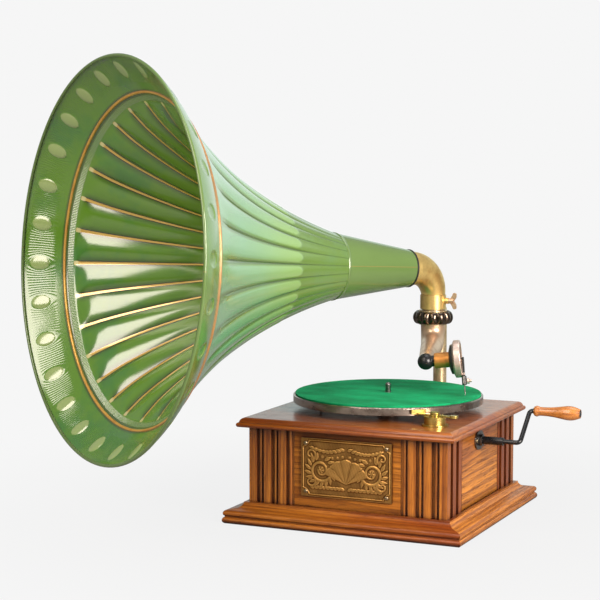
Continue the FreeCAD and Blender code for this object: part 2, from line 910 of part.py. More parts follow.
def build_crank():
    parts = {}
    start, bend, top = crank_path()
    shaft_start = barrel_x - wind_pinion_width / 2 - bearing_thickness - 2 * end_gap
    shaft_end = start.x + 0.8 * crank_sleeve_length
    shaft_tip = V(shaft_end, crank_y, crank_height)
    shaft = rod(crank_shaft_radius, V(shaft_start, crank_y, crank_height), shaft_tip)
    half_pitch = 180.0 / wind_pinion_teeth
    gear = helical_gear(wind_pinion_teeth, wind_module, wind_helix, wind_pinion_width, half_pitch)
    gear = placed(gear, V(barrel_x, crank_y, crank_height), X, Y)
    parts["winding_shaft"] = one_solid(fused([shaft, gear]))
    sleeve_end = start.x + crank_sleeve_length
    sleeve = rod(crank_sleeve_radius, start, V(sleeve_end, crank_y, crank_height))
    bore = rod(crank_shaft_radius, V(start.x - 1, crank_y, crank_height), shaft_tip)
    pin_end = grip_pin_start() + grip_side_gap + grip_length - grip_cap_length
    begin = V(sleeve_end - 1, crank_y, crank_height)
    path = rounded_path([begin, bend, top, V(pin_end, top.y, top.z)], crank_bend_radius)
    section = ring_wire(begin, X, Y, crank_rod_radius)
    bar = path.makePipeShell([section], True, False)
    collar = rod(crank_rod_radius + 1.2, V(grip_pin_start(), top.y, top.z),
                 V(grip_pin_start() + grip_side_gap - end_gap, top.y, top.z))
    rivet = rod(grip_cap_radius, V(pin_end, top.y, top.z), V(pin_end + grip_cap_length, top.y, top.z))
    parts["crank_rod"] = one_solid(fused([sleeve.cut(bore), bar, collar, rivet]))
    parts["crank_grip"] = grip(V(grip_pin_start() + grip_side_gap, top.y, top.z))
    return parts


def grip(at):
    """Turned wooden grip about its pin, with a recess in the end for the pin's riveted head."""
    bore = crank_rod_radius + running_gap
    cap_hole = grip_cap_radius + body_gap
    recess = grip_length - grip_cap_length - end_gap
    flange = 0.08 * grip_length
    neck = 0.14 * grip_length
    body = turned((bore, 0), [
        ((grip_flange_radius, 0),),
        ((grip_flange_radius + 0.8, flange / 2), (grip_flange_radius, flange)),
        ((grip_neck_radius, neck),),
        ((grip_radius, 0.62 * grip_length), (grip_radius - 2.2, grip_length)),
        ((cap_hole, grip_length),),
        ((cap_hole, recess),),
        ((bore, recess),),
    ])
    return placed(body, at, X, Y)


def horn_frame():
    """Mouth centre, axis pointing from the mouth to the pivot, and the level direction to the left."""
    level = cos(horn_elevation)
    out = V(-sin(horn_turn) * level, -cos(horn_turn) * level, sin(horn_elevation))
    pivot = V(pivot_x, pivot_y, horn_axis_height)
    mouth = pivot.add(out * horn_reach)
    left = out.cross(Z)
    left.normalize()
    return mouth, out * -1, left


def flare(s):
    """Horn radius at s behind the mouth: a bulging band, then an exponential down to the throat radius."""
    if s <= band_depth:
        share = s / band_depth
        return mouth_radius + (band_radius - mouth_radius) * share + 4 * band_bulge * share * (1 - share)
    decay = math.exp(-flare_rate * (bell_length - band_depth))
    offset = (band_radius * decay - throat_radius) / (1 - decay)
    return (band_radius + offset) * math.exp(-flare_rate * (s - band_depth)) - offset


def flare_slope(s):
    return (flare(s + 0.5) - flare(s - 0.5)) / 1.0


def petal_depth(s):
    """How far the creases lie inside the petals' crowns at s."""
    if s <= petal_start:
        return 0.0
    rise = min(1.0, (s - petal_start) / petal_rise)
    fade = min(1.0, max(0.0, (bell_length - s) / petal_fade))
    ratio = petal_end_depth_ratio + (petal_depth_ratio - petal_end_depth_ratio) * fade
    smooth = rise * rise * (3 - 2 * rise)
    return ratio * smooth * 2 * math.pi * flare(s) / petal_count


def petal_section(s):
    """Closed section of one petal's sheet at s: outer arc, seam edge, inner arc, seam edge."""
    half_step = 180.0 / petal_count
    wall = horn_wall * math.hypot(1.0, flare_slope(s))
    crown = flare(s)
    crease = crown - petal_depth(s)
    outer = [polar(crease, -half_step, s), polar(crown, 0.0, s), polar(crease, half_step, s)]
    inner = [
        polar(crease - wall, half_step, s),
        polar(crown - wall, 0.0, s),
        polar(crease - wall, -half_step, s),
    ]
    edges = [
        Part.Arc(outer[0], outer[1], outer[2]).toShape(),
        Part.makeLine(outer[2], inner[0]),
        Part.Arc(inner[0], inner[1], inner[2]).toShape(),
        Part.makeLine(inner[2], outer[0]),
    ]
    return Part.Wire(edges)


def bell():
    """Stamped petals of thin sheet, seamed side by side along the creases from the rim to the throat."""
    first = rim_wire_radius
    smooth = [first + (band_depth - first) * i / 4 for i in range(5)]
    rising = [petal_start + petal_rise * i / 4 for i in range(5)]
    rest_start = petal_start + petal_rise
    rest = [rest_start + (bell_length - rest_start) * i / 9 for i in range(1, 10)]
    petal = Part.makeLoft([petal_section(s) for s in smooth + rising + rest], True, True)
    step = 360.0 / petal_count
    petals = []
    for i in range(petal_count):
        copy = petal.copy()
        copy.rotate(V(0, 0, 0), Z, petal_phase + (i + 0.5) * step)
        petals.append(copy)
    return Part.makeCompound(petals)


def neck_radius(s):
    return throat_radius + (neck_end_radius - throat_radius) * (s - bell_length) / (neck_end() - bell_length)


def neck_end():
    return horn_reach - elbow_run() - gasket_thickness


def elbow_run():
    """Distance from the pivot axis to the elbow's shoulder, along the horn."""
    return elbow_bend_radius * tan((90 - horn_elevation) / 2) + 8.0


def build_horn():
    parts = {}
    mouth, back, left = horn_frame()

    def on_axis(shape):
        return placed(shape, mouth, back, left)

    parts["horn_bell"] = on_axis(bell())
    wire = Part.makeTorus(flare(rim_wire_radius) - horn_wall / 2, rim_wire_radius)
    parts["horn_rim"] = on_axis(wire)
    s0 = bell_length
    s1 = neck_end()
    wall = horn_wall
    bead = neck_bead_radius
    neck = turned((throat_radius - wall * 1.3, s0), [
        ((throat_radius + bead, s0),),
        ((throat_radius + 1.5 * bead, s0 + bead), (neck_radius(s0 + 2 * bead), s0 + 2 * bead)),
        ((neck_end_radius, s1),),
        ((neck_end_radius - wall, s1),),
    ])
    parts["horn_neck"] = on_axis(neck)
    deep = s1 - elbow_spigot_length

    def inside(s):
        share = (s - s0) / (s1 - s0)
        return throat_radius - wall * 1.3 + (neck_end_radius - wall - throat_radius + wall * 1.3) * share

    gasket = turned((elbow_mouth_radius, deep), [
        ((inside(deep), deep),),
        ((inside(s1), s1),),
        ((neck_end_radius + gasket_lip, s1),),
        ((neck_end_radius + gasket_lip, s1 + gasket_thickness),),
        ((elbow_mouth_radius, s1 + gasket_thickness),),
    ])
    parts["horn_gasket"] = on_axis(gasket)
    parts["horn_elbow"] = horn_elbow()
    parts["wing_screw"] = wing_screw()
    return parts


def wing_height():
    return head_top + elbow_band_gap + 0.6 * elbow_band_length


def horn_elbow():
    """Tapered cast bend from the band on the bracket's spigot to the horn's gasket."""
    mouth, back, left = horn_frame()
    out = back * -1
    pivot = V(pivot_x, pivot_y, horn_axis_height)
    turn = 90 - horn_elevation
    tangent = elbow_bend_radius * tan(turn / 2)
    start = pivot.sub(Z * tangent)
    level = V(out.x, out.y, 0)
    level.normalize()
    centre = start.add(level * elbow_bend_radius)
    count = 7
    band_base = head_top + elbow_band_gap
    band_top = band_base + elbow_band_length
    run_end = elbow_run()
    spigot_end = run_end + gasket_thickness + elbow_spigot_length

    def skin(inset, foot_radius, foot_base):
        stations = []
        for i in range(count + 1):
            a = turn * i / count
            point = centre.sub(level * (elbow_bend_radius * cos(a))).add(Z * (elbow_bend_radius * sin(a)))
            way = level * sin(a) + Z * cos(a)
            share = i / count
            radius = elbow_foot_radius + (elbow_mouth_radius - elbow_foot_radius) * share
            stations.append((point, way, radius - inset))
        side = level.cross(Z)
        bend = bent_tube(stations, side)
        last = stations[-1][0]
        tip = pivot.add(out * spigot_end)
        straight = rod(elbow_mouth_radius - inset, last, tip)
        foot = rod(elbow_foot_radius - inset, V(pivot_x, pivot_y, foot_base), start)
        return fused([foot, bend, straight])

    outer = skin(0.0, elbow_foot_radius, band_base)
    band = upright(elbow_band_radius, pivot_x, pivot_y, band_base, band_top)
    z = wing_height()
    hub_end = elbow_band_radius + wing_boss_length
    boss = rod(wing_boss_radius, V(pivot_x + spigot_radius, pivot_y, z), V(pivot_x + hub_end, pivot_y, z))
    hollow = skin(elbow_wall, elbow_foot_radius, band_base - 1)
    way = rod(wing_screw_radius + running_gap, V(pivot_x, pivot_y, z), V(pivot_x + hub_end + 1, pivot_y, z))
    socket = upright(spigot_radius + running_gap, pivot_x, pivot_y, band_base - 1, spigot_top + 3)
    return one_solid(cut(fused([outer, band, boss]), [hollow, socket, way]))


def wing_screw():
    """Thumb screw along X: shank through the boss, hub and two wings."""
    z = wing_height()
    shank_start = spigot_radius + body_gap
    hub_start = elbow_band_radius + wing_boss_length + body_gap
    hub_end = hub_start + wing_hub_length

    def at(x, dz=0.0):
        return V(pivot_x + x, pivot_y, z + dz)

    shank = rod(wing_screw_radius, at(shank_start), at(hub_end))
    hub = rod(wing_hub_radius, at(hub_start), at(hub_end))
    half = wing_thickness / 2
    reach = hub_start + wing_reach
    shapes = [shank, hub]
    for side in (-1, 1):
        steps = [
            ((hub_end, 0.0),),
            ((reach, side * 0.32 * wing_span), (reach, side * 0.5 * wing_span)),
            ((hub_start + 0.75 * wing_reach, side * 0.58 * wing_span), (hub_start + 0.5 * wing_reach,
                                                                        side * 0.42 * wing_span)),
        ]
        wing = outline((hub_start, 0.0), steps)
        wing.translate(V(0, -half, 0))
        wing = wing.extrude(V(0, wing_thickness, 0))
        wing.translate(V(pivot_x, pivot_y, z))
        shapes.append(wing)
    return one_solid(fused(shapes))


def arm_frame():
    """Directions of the tone arm: forward along it, level to its right, and the sound-box axis."""
    ahead = V(sin(arm_turn), -cos(arm_turn), 0)
    right = V(cos(arm_turn), sin(arm_turn), 0)
    axis = right * cos(neck_tilt) + Z * sin(neck_tilt)
    ball = pivot_at.add(ahead * arm_reach).add(Z * arm_ball_height)
    return ahead, right, axis, ball


def box_frame():
    """Sound-box centre, its axis, the needle's direction and the needle's reach."""
    ahead, right, axis, ball = arm_frame()
    centre = ball.add(axis * neck_length)
    down = right * sin(neck_tilt) - Z * cos(neck_tilt)
    needle = down * cos(needle_lean) + ahead * sin(needle_lean)
    reach = (centre.z - mat_top - needle_gap) / (cos(needle_lean) * cos(neck_tilt))
    return centre, axis, needle, reach


def build_tonearm():
    ahead, right, axis, ball = arm_frame()
    shoulder = head_base_height - body_gap
    drop = 3.0
    bend_top = shoulder - drop
    slope = 0.0
    for _ in range(30):
        run = arm_reach - arm_bend_radius * (1 - sin(slope))
        fall = bend_top - arm_bend_radius * cos(slope) - arm_ball_height
        slope = math.degrees(math.atan2(fall, run))
    centre = pivot_at.add(ahead * arm_bend_radius).add(Z * bend_top)
    turn = 90 - slope
    count = 7
    way_end = ahead * cos(slope) - Z * sin(slope)
    tube_end = ball.sub(way_end * (0.75 * arm_ball_radius))
    tube_bend = centre.sub(ahead * (arm_bend_radius * cos(turn))).sub(Z * (arm_bend_radius * sin(turn)))
    straight = tube_end.sub(tube_bend).Length
    bend = math.radians(turn) * arm_bend_radius
    taper = (arm_root_radius - arm_tip_radius) / (straight + bend)

    def skin(inset, root):
        stations = []
        for i in range(count + 1):
            a = turn * i / count
            point = centre.sub(ahead * (arm_bend_radius * cos(a))).sub(Z * (arm_bend_radius * sin(a)))
            way = ahead * sin(a) - Z * cos(a)
            stations.append((point, way, arm_root_radius - taper * bend * i / count - inset))
        curve = bent_tube(stations, right)
        last = stations[-1]
        cone = bent_tube([last, (tube_end, way_end, arm_tip_radius - inset)], right)
        stub = upright(arm_root_radius - inset, pivot_x, pivot_y, bend_top, shoulder)
        return fused([stub, curve, cone])

    spigot_end = spigot_top + body_gap + arm_nut_thickness
    spigot_out = head_bore_radius - running_gap
    spigot = upright(spigot_out, pivot_x, pivot_y, shoulder - arm_wall, spigot_end)
    bore = upright(spigot_out - arm_wall, pivot_x, pivot_y, shoulder - 2 * arm_wall, spigot_end + 1)
    inner_stub_top = shoulder - arm_wall
    hollow = skin(arm_wall, inner_stub_top).cut(upright(arm_root_radius + 1, pivot_x, pivot_y,
                                                        inner_stub_top, shoulder + 1))
    tube = cut(fused([skin(0.0, shoulder), spigot]), [hollow, bore])
    nut = upright(arm_nut_radius, pivot_x, pivot_y, spigot_top + body_gap, spigot_end)
    nut = nut.cut(upright(spigot_out, pivot_x, pivot_y, spigot_top, spigot_end + 1))
    plug = arm_tip_radius - arm_wall
    pipe_end = ball.add(axis * (neck_length - box_back_reach() - body_gap))
    sphere = Part.makeSphere(arm_ball_radius, ball)
    wide = arm_tip_radius + 2
    front_cut = bent_tube([(tube_bend, way_end, wide), (tube_end, way_end, wide)], right)
    elbow = fused([
        sphere.cut(front_cut),
        rod(plug, tube_end.sub(way_end * arm_ball_radius), ball).cut(front_cut),
        rod(plug - 2, tube_end, ball),
        rod(neck_pipe_radius, ball, pipe_end),
    ])
    channel = rod(neck_pipe_radius - 2 * arm_wall, ball, pipe_end.add(axis))
    inlet = rod(neck_pipe_radius - 2 * arm_wall, tube_end.sub(way_end * arm_ball_radius), ball)
    mid = Part.makeSphere(neck_pipe_radius - 2 * arm_wall, ball)
    return {
        "tone_arm": one_solid(tube),
        "arm_ring_nut": nut,
        "arm_ball_elbow": one_solid(cut(elbow, [channel, inlet, mid])),
    }


def box_back_reach():
    """Distance from the sound box's middle back to the rear face of its flange."""
    return box_depth / 2 + box_back_thickness + box_flange_thickness


def build_soundbox():
    parts = {}
    centre, axis, needle, reach = box_frame()

    def on_box(shape):
        return placed(shape, centre, axis, needle)

    front = box_depth / 2
    rear = -front
    flange_front = rear - box_back_thickness
    flange_rear = flange_front - box_flange_thickness
    window = box_radius - box_lip
    seat = box_radius - box_wall
    bore = neck_pipe_radius + running_gap
    ring = turned((window, front), [
        ((window, front - box_wall),),
        ((seat, front - box_wall),),
        ((seat, rear),),
        ((box_radius - 0.6, rear),),
        ((box_radius, rear + 0.6),),
        ((box_radius, front - 1.5),),
        ((box_radius - 0.4, front - 0.4), (box_radius - 1.5, front)),
    ])
    parts["soundbox_case"] = on_box(ring)
    back = turned((bore, flange_front), [
        ((box_flange_radius, flange_front),),
        ((box_radius - 0.6, rear),),
        ((bore, rear),),
    ])
    parts["soundbox_back"] = on_box(back)
    flange = turned((bore, flange_rear), [
        ((sleeve_radius + 2, flange_rear),),
        ((box_flange_radius - 1, flange_rear + 2.0),),
        ((box_flange_radius, flange_front - 1.0),),
        ((box_flange_radius - 0.5, flange_front),),
        ((bore, flange_front),),
    ])
    parts["soundbox_flange"] = on_box(flange)
    sleeve = turned((bore, flange_rear - sleeve_length), [
        ((sleeve_radius - 0.8, flange_rear - sleeve_length),),
        ((sleeve_radius, flange_rear - sleeve_length + 0.8),),
        ((sleeve_radius, flange_rear),),
        ((bore, flange_rear),),
    ])
    parts["soundbox_neck"] = on_box(sleeve)
    sheet = Part.makeCylinder(seat, diaphragm_thickness, V(0, 0, 0))
    parts["diaphragm"] = on_box(sheet)
    w = stylus_bar_width / 2
    bar_z0 = front + body_gap
    bar_z1 = bar_z0 + stylus_bar_width
    holder_start = box_radius + body_gap
    holder_end = reach - needle_length
    mid_z = (bar_z0 + bar_z1) / 2
    foot = Part.makeCylinder(0.7 * w, mid_z - diaphragm_thickness, V(0, 0, diaphragm_thickness))
    bar = block(-w, holder_start + 1, -w, w, bar_z0, bar_z1)
    holder = rod(needle_holder_radius, V(holder_start, 0, mid_z), V(holder_end, 0, mid_z))
    lug = block(box_radius - 4, box_radius - 1, -2.2 * w, 2.2 * w, front, bar_z1)
    lug = lug.cut(block(0, 2 * box_radius, -w - 0.1, w + 0.1, bar_z0 - 0.1, bar_z1 + 1))
    parts["soundbox_case"] = one_solid(fused([on_box(ring), on_box(lug)]))
    pin_start = holder_end - 0.6 * (holder_end - holder_start)
    needle_way = rod(needle_radius, V(pin_start, 0, mid_z), V(holder_end + 1, 0, mid_z))
    screw_x = (holder_start + holder_end) / 2 + 1
    thread = rod(needle_screw_radius + running_gap, V(screw_x, 0, mid_z + 0.4 * needle_radius),
                 V(screw_x, 0, mid_z + needle_holder_radius + 1))
    parts["stylus_bar"] = on_box(one_solid(cut(fused([foot, bar, holder]), [needle_way, thread])))
    cone_at = V(reach - needle_point_length, 0, mid_z)
    tip_cone = Part.makeCone(needle_radius, 0.12, needle_point_length, cone_at, X)
    stem = rod(needle_radius, V(pin_start, 0, mid_z), V(reach - needle_point_length, 0, mid_z))
    parts["needle"] = on_box(fused([stem, tip_cone]))
    head_at = V(screw_x, 0, mid_z + needle_holder_radius + body_gap)
    screw_tip = V(screw_x, 0, mid_z + needle_radius + body_gap)
    clamp = fused([
        rod(needle_screw_radius, screw_tip, head_at.add(Z)),
        rod(needle_screw_head_radius, head_at, head_at.add(Z * needle_screw_head_length)),
        rod(0.5 * needle_screw_head_radius, head_at, head_at.add(Z * 2 * needle_screw_head_length)),
    ])
    parts["needle_screw"] = on_box(clamp)
    return parts


def plate_top_base():
    return deck_base - plate_thickness


def plate_low_top():
    return plate_top_base() - motor_depth


def barrel_at():
    wheel = gear_radii(wind_wheel_teeth, wind_module, wind_helix)[0]
    pinion = gear_radii(wind_pinion_teeth, wind_module, wind_helix)[0]
    return V(barrel_x, crank_y + wheel + pinion, 0)


def inter_at():
    """Intermediate arbor: at its two centre distances from the spindle and the barrel, to the back."""
    barrel = barrel_at()
    near = (spindle_pinion_teeth + inter_wheel_teeth) * inter_wheel_module / 2
    far = (inter_pinion_teeth + great_wheel_teeth) * great_wheel_module / 2
    line = barrel.sub(spindle_at)
    d = line.Length
    along = (near * near - far * far + d * d) / (2 * d)
    aside = math.sqrt(max(0.0, near * near - along * along))
    line.normalize()
    return spindle_at.add(line * along).add(V(-line.y, line.x, 0) * aside)


def heading(start, end):
    way = end.sub(start)
    return math.degrees(math.atan2(way.y, way.x))


def pinion_phase():
    """Puts a gap of the spindle pinion where a tooth of the intermediate wheel points at it."""
    return heading(spindle_at, inter_at()) + 180.0 / spindle_pinion_teeth


def great_wheel_level():
    tip = gear_radii(wind_pinion_teeth, wind_module, wind_helix)[2]
    return crank_height - tip - wheel_level_gap - great_wheel_thickness


def inter_wheel_level():
    return great_wheel_level() + great_wheel_thickness + pinion_overlap + wheel_level_gap


def drive_wheel_level():
    return plate_low_top() + drive_wheel_lift


def governor_x():
    wheel = gear_radii(drive_wheel_teeth, drive_module, drive_helix)[0]
    worm = gear_radii(worm_starts, drive_module, 90 - drive_helix)[0]
    return -wheel - worm


def motor_bounds():
    right = barrel_at().x + gear_radii(great_wheel_teeth, great_wheel_module)[2] + plate_margin
    left = governor_x() - governor_disc_radius - 2 * pillar_radius - plate_margin
    back = governor_end() + plate_margin
    front = crank_y - bearing_block_width / 2 - 2 * pillar_radius - plate_margin
    return left, right, front, back


def governor_end():
    fittings = 2 * governor_collar_length + 2 * bearing_thickness
    return spindle_y + governor_collar_offset + governor_span + fittings


def near_bearing_reach():
    """How far in front of the spindle the governor's first bearing clears the drive wheel and the worm."""
    tip = gear_radii(drive_wheel_teeth, drive_module, drive_helix)[2] + body_gap
    side = governor_x() + bearing_width / 2
    return max(worm_length / 2 + 2 * end_gap, math.sqrt(max(tip ** 2 - side ** 2, 0.0)))


def motor_corners():
    left, right, front, back = motor_bounds()
    inset = plate_margin + pillar_radius / 2
    return [(x, y) for x in (left + inset, right - inset) for y in (front + inset, back - inset)]


def motor_screws(maker):
    left, right, front, back = motor_bounds()
    inset = plate_margin + pillar_radius / 2
    side = 3 * pillar_radius
    places = [(left + inset + side, front + inset), (right - inset - side, front + inset),
              (left + inset + side, back - inset), (right - inset - side, back - inset)]
    made = []
    for x, y in places:
        made_screw = maker(motor_screw_radius, motor_screw_length)
        made.append(placed(made_screw, V(x, y, plate_top_base()), Z * -1, X))
    return made


def build_motor():
    parts = {}
    left, right, front, back = motor_bounds()
    top_base = plate_top_base()
    low_top = plate_low_top()
    low_base = low_top - plate_thickness
    barrel = barrel_at()
    inter = inter_at()
    stem = 0.5 * pillar_radius
    pillar_holes = [upright(stem, x, y, low_base - 1, deck_base + 1) for x, y in motor_corners()]
    pivots = [
        upright(journal_radius + running_gap, barrel.x, barrel.y, low_base - 1, deck_base + 1),
        upright(journal_radius / 2 + running_gap, inter.x, inter.y, low_base - 1, deck_base + 1),
    ]
    neck = upright(spindle_radius + running_gap, 0, spindle_y, top_base - 1, deck_base + 1)
    top = block(left, right, front, back, top_base, deck_base)
    parts["motor_top_plate"] = cut(top, pillar_holes + pivots + [neck] + motor_screws(screw_hole))
    low = block(left, right, front, back, low_base, low_top)
    step = upright(journal_radius + running_gap, 0, spindle_y, low_base - 1, low_top + 1)
    parts["motor_low_plate"] = cut(low, pillar_holes + pivots + [step])
    pillars = []
    for x, y in motor_corners():
        stud = upright(0.5 * pillar_radius, x, y, low_base, deck_base)
        pillars.append(fused([stud, upright(pillar_radius, x, y, low_top, top_base)]))
    parts["motor_pillars"] = Part.makeCompound(pillars)
    parts["motor_screws"] = Part.makeCompound(motor_screws(screw))
    parts.update(barrel_train(barrel, inter))
    parts.update(governor())
    block_start = barrel_x - wind_pinion_width / 2 - bearing_thickness - end_gap
    half = bearing_block_width / 2
    hanger = block(block_start, block_start + bearing_thickness, crank_y - half, crank_y + half,
                   crank_height - half, top_base)
    bore = rod(crank_shaft_radius + running_gap, V(block_start - 1, crank_y, crank_height),
               V(block_start + bearing_thickness + 1, crank_y, crank_height))
    parts["winding_bearing"] = hanger.cut(bore)
    return parts


def barrel_train(barrel, inter):
    parts = {}
    top_base = plate_top_base()
    low_top = plate_low_top()
    low_base = low_top - plate_thickness
    wheel_z = great_wheel_level()
    wheel_top = wheel_z + great_wheel_thickness
    drum_base = wheel_top - barrel_depth
    bore = arbor_radius + running_gap
    toward = heading(barrel, inter)
    wheel = spur_gear(great_wheel_teeth, great_wheel_module, wheel_z, wheel_top, toward)
    drum = Part.makeCylinder(barrel_radius, barrel_depth, V(0, 0, drum_base))
    room_at = V(0, 0, drum_base - great_wheel_thickness)
    room = Part.makeCylinder(barrel_radius - barrel_wall, barrel_depth, room_at)
    hole = Part.makeCylinder(bore, 2 * barrel_depth, V(0, 0, drum_base - 1))
    cup = cut(fused([drum, wheel]), [room, hole])
    cup.translate(barrel)
    parts["spring_barrel"] = one_solid(cup)
    cover_at = V(0, 0, drum_base - barrel_cover_thickness)
    cover = Part.makeCylinder(barrel_radius, barrel_cover_thickness, cover_at)
    cover = cover.cut(hole)
    cover = cover.cut(Part.makeCylinder(bore, 4 * barrel_depth, V(0, 0, drum_base - 2 * barrel_depth)))
    cover.translate(barrel)
    parts["barrel_cover"] = cover
    parts["mainspring"] = mainspring(barrel, drum_base + spring_edge_gap, wheel_z - spring_edge_gap)
    arbor_base = low_top + end_gap
    arbor_top = top_base - end_gap
    arbor = turned((0, low_base), [
        ((journal_radius, low_base),),
        ((journal_radius, arbor_base),),
        ((arbor_radius, arbor_base),),
        ((arbor_radius, arbor_top),),
        ((journal_radius, arbor_top),),
        ((journal_radius, deck_base - end_gap),),
        ((0, deck_base - end_gap),),
    ])
    arbor.translate(barrel)
    parts["barrel_arbor"] = arbor
    big = helical_gear(wind_wheel_teeth, wind_module, wind_helix, wind_wheel_width, -90.0)
    big = big.cut(Part.makeCylinder(arbor_radius, 2 * wind_wheel_width, V(0, 0, -wind_wheel_width)))
    big.translate(V(barrel.x, barrel.y, crank_height))
    parts["winding_wheel"] = big
    small_phase = heading(inter, barrel) + 180.0 / inter_pinion_teeth
    leaf_low = wheel_z - pinion_overlap
    leaf_top = wheel_top + pinion_overlap
    pin = journal_radius / 2
    r = inter_arbor_radius
    rod_low = low_top + end_gap
    rod_top = top_base - end_gap
    spindle = turned((0, low_base), [
        ((pin, low_base),),
        ((pin, rod_low),),
        ((r, rod_low),),
        ((r, rod_top),),
        ((pin, rod_top),),
        ((pin, deck_base - end_gap),),
        ((0, deck_base - end_gap),),
    ])
    leaves = spur_gear(inter_pinion_teeth, great_wheel_module, leaf_low, leaf_top, small_phase)
    whole = fused([spindle, leaves])
    whole.translate(inter)
    parts["inter_arbor"] = one_solid(whole)
    level = inter_wheel_level()
    disc = spur_gear(inter_wheel_teeth, inter_wheel_module, level, level + inter_wheel_thickness,
                     heading(inter, spindle_at))
    disc = disc.cut(Part.makeCylinder(r, 2 * inter_wheel_thickness, V(0, 0, level - 1)))
    disc.translate(inter)
    parts["inter_wheel"] = disc
    return parts


def mainspring(barrel, z0, z1):
    """Spiral strip of half-turn arcs from near the arbor to near the barrel's wall."""
    inner = arbor_radius + 2 * spring_strip + 1.0
    outer = barrel_radius - barrel_wall - spring_strip / 2 - body_gap
    halves = int(2 * spring_turns)
    step = (outer - inner) / halves

    def run(offset):
        """Half-turn arcs about two centres one step apart, so the curve stays smooth."""
        edges = []
        for i in range(halves):
            side = 1 if i % 2 == 0 else -1
            middle = 0.0 if i % 2 == 0 else step
            radius = inner + i * step + offset
            a = V(middle + side * radius, 0, z0)
            b = V(middle, side * radius, z0)
            c = V(middle - side * radius, 0, z0)
            edges.append(Part.Arc(a, b, c).toShape())
        return edges

    near = run(-spring_strip / 2)
    far = run(spring_strip / 2)
    first = [edges[0].valueAt(edges[0].FirstParameter) for edges in (near, far)]
    last = [edges[-1].valueAt(edges[-1].LastParameter) for edges in (near, far)]
    caps = [Part.makeLine(first[0], first[1]), Part.makeLine(last[0], last[1])]
    wire = Part.Wire(Part.__sortEdges__(near + far + caps))
    strip = Part.Face(wire).extrude(V(0, 0, z1 - z0))
    strip.translate(barrel)
    return strip


def governor():
    """Worm shaft along Y with a collar, leaf springs with weights, and a friction disc."""
    parts = {}
    gx = governor_x()
    gz = drive_wheel_level()
    low_top = plate_low_top()

    def along(y):
        return V(gx, y, gz)

    mid = spindle_y
    shaft_start = mid - near_bearing_reach() - bearing_thickness
    collar_start = mid + governor_collar_offset - governor_collar_length
    collar_end = collar_start + governor_collar_length
    hub_start = collar_end + governor_span - governor_collar_length
    hub_end = hub_start + governor_collar_length
    disc_end = hub_end + governor_disc_thickness
    far_bearing = disc_end + governor_collar_length + bearing_thickness
    shaft_end = far_bearing + bearing_thickness - end_gap
    worm = helical_gear(worm_starts, drive_module, 90 - drive_helix, worm_length, 180.0 / worm_starts)
    worm = placed(worm, along(mid), Y, X)
    shaft = fused([
        rod(governor_shaft_radius, along(shaft_start), along(shaft_end)),
        worm,
        rod(governor_collar_radius, along(collar_start), along(collar_end)),
    ])
    parts["governor_shaft"] = one_solid(shaft)
    disc = fused([
        rod(governor_collar_radius, along(hub_start), along(hub_end)),
        rod(governor_disc_radius, along(hub_end), along(disc_end)),
    ])
    disc = disc.cut(rod(governor_shaft_radius, along(hub_start - 1), along(disc_end + 1)))
    parts["governor_disc"] = disc
    r = governor_collar_radius
    middle = (collar_end + hub_start) / 2
    t = governor_spring_thickness
    half = governor_spring_width / 2
    leaf = outline((r, collar_start), [
        ((r + governor_bow, middle), (r, hub_end)),
        ((r + t, hub_end),),
        ((r + governor_bow + t, middle), (r + t, collar_start)),
    ])
    leaf.translate(V(0, -half, 0))
    leaf = leaf.extrude(V(0, 2 * half, 0))
    barrel_cut = Part.makeCylinder(r, 4 * governor_span, V(0, 0, collar_start - governor_span))
    leaf = leaf.cut(barrel_cut)
    weight = rod(governor_weight_radius, V(r + governor_bow + t, 0, middle),
                 V(r + governor_bow + t + governor_weight_height, 0, middle))
    springs = []
    weights = []
    for i in range(governor_weight_count):
        turn = 360.0 * i / governor_weight_count
        for shape, group in ((leaf, springs), (weight, weights)):
            copy = shape.copy()
            copy.rotate(V(0, 0, 0), Z, turn)
            group.append(placed(copy, V(gx, 0, gz), Y, X))
    parts["governor_springs"] = Part.makeCompound(springs)
    parts["governor_weights"] = Part.makeCompound(weights)
    posts = []
    for y in (shaft_start, far_bearing):
        half_b = bearing_width / 2
        post = block(gx - half_b, gx + half_b, y, y + bearing_thickness, low_top, gz + half_b)
        bore = rod(governor_shaft_radius + running_gap, along(y - 1), along(y + bearing_thickness + 1))
        posts.append(post.cut(bore))
    parts["governor_bearings"] = Part.makeCompound(posts)
    pad_x = gx - 0.6 * governor_disc_radius
    pad_y0 = disc_end + body_gap
    pad_y1 = pad_y0 + governor_collar_length
    pad = rod(pad_radius, V(pad_x, pad_y0, gz), V(pad_x, pad_y1, gz))
    lever = block(pad_x - pad_radius, pad_x + pad_radius, pad_y1 - pad_radius, pad_y1 + pad_radius,
                  low_top, gz + pad_radius)
    parts["speed_arm"] = one_solid(fused([pad, lever]))
    return parts


def main():
    os.makedirs("parts", exist_ok=True)
    parts = {}
    for build in (build_case, build_bracket, build_turntable, build_brake, build_crank,
                  build_horn, build_tonearm, build_soundbox, build_motor):
        parts.update(build())
    for name, shape in parts.items():
        shape.exportStep("parts/" + name + ".step")
        print(name, len(shape.Solids), round(shape.Volume, 1), shape.isValid())
    print("parts", len(parts))


main()
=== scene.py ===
# %% [markdown]
# # A table gramophone with a painted horn
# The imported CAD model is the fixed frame: every board, tube and gear is already in place, in metres.
# This lesson dresses it. Most CAD pieces only need a finish. A few thin, carved or soft ones are replaced
# by surfaces worked out with numpy, because embossed sheet metal, relief and felt are easier to write as
# formulas than to cut from solids.

import math

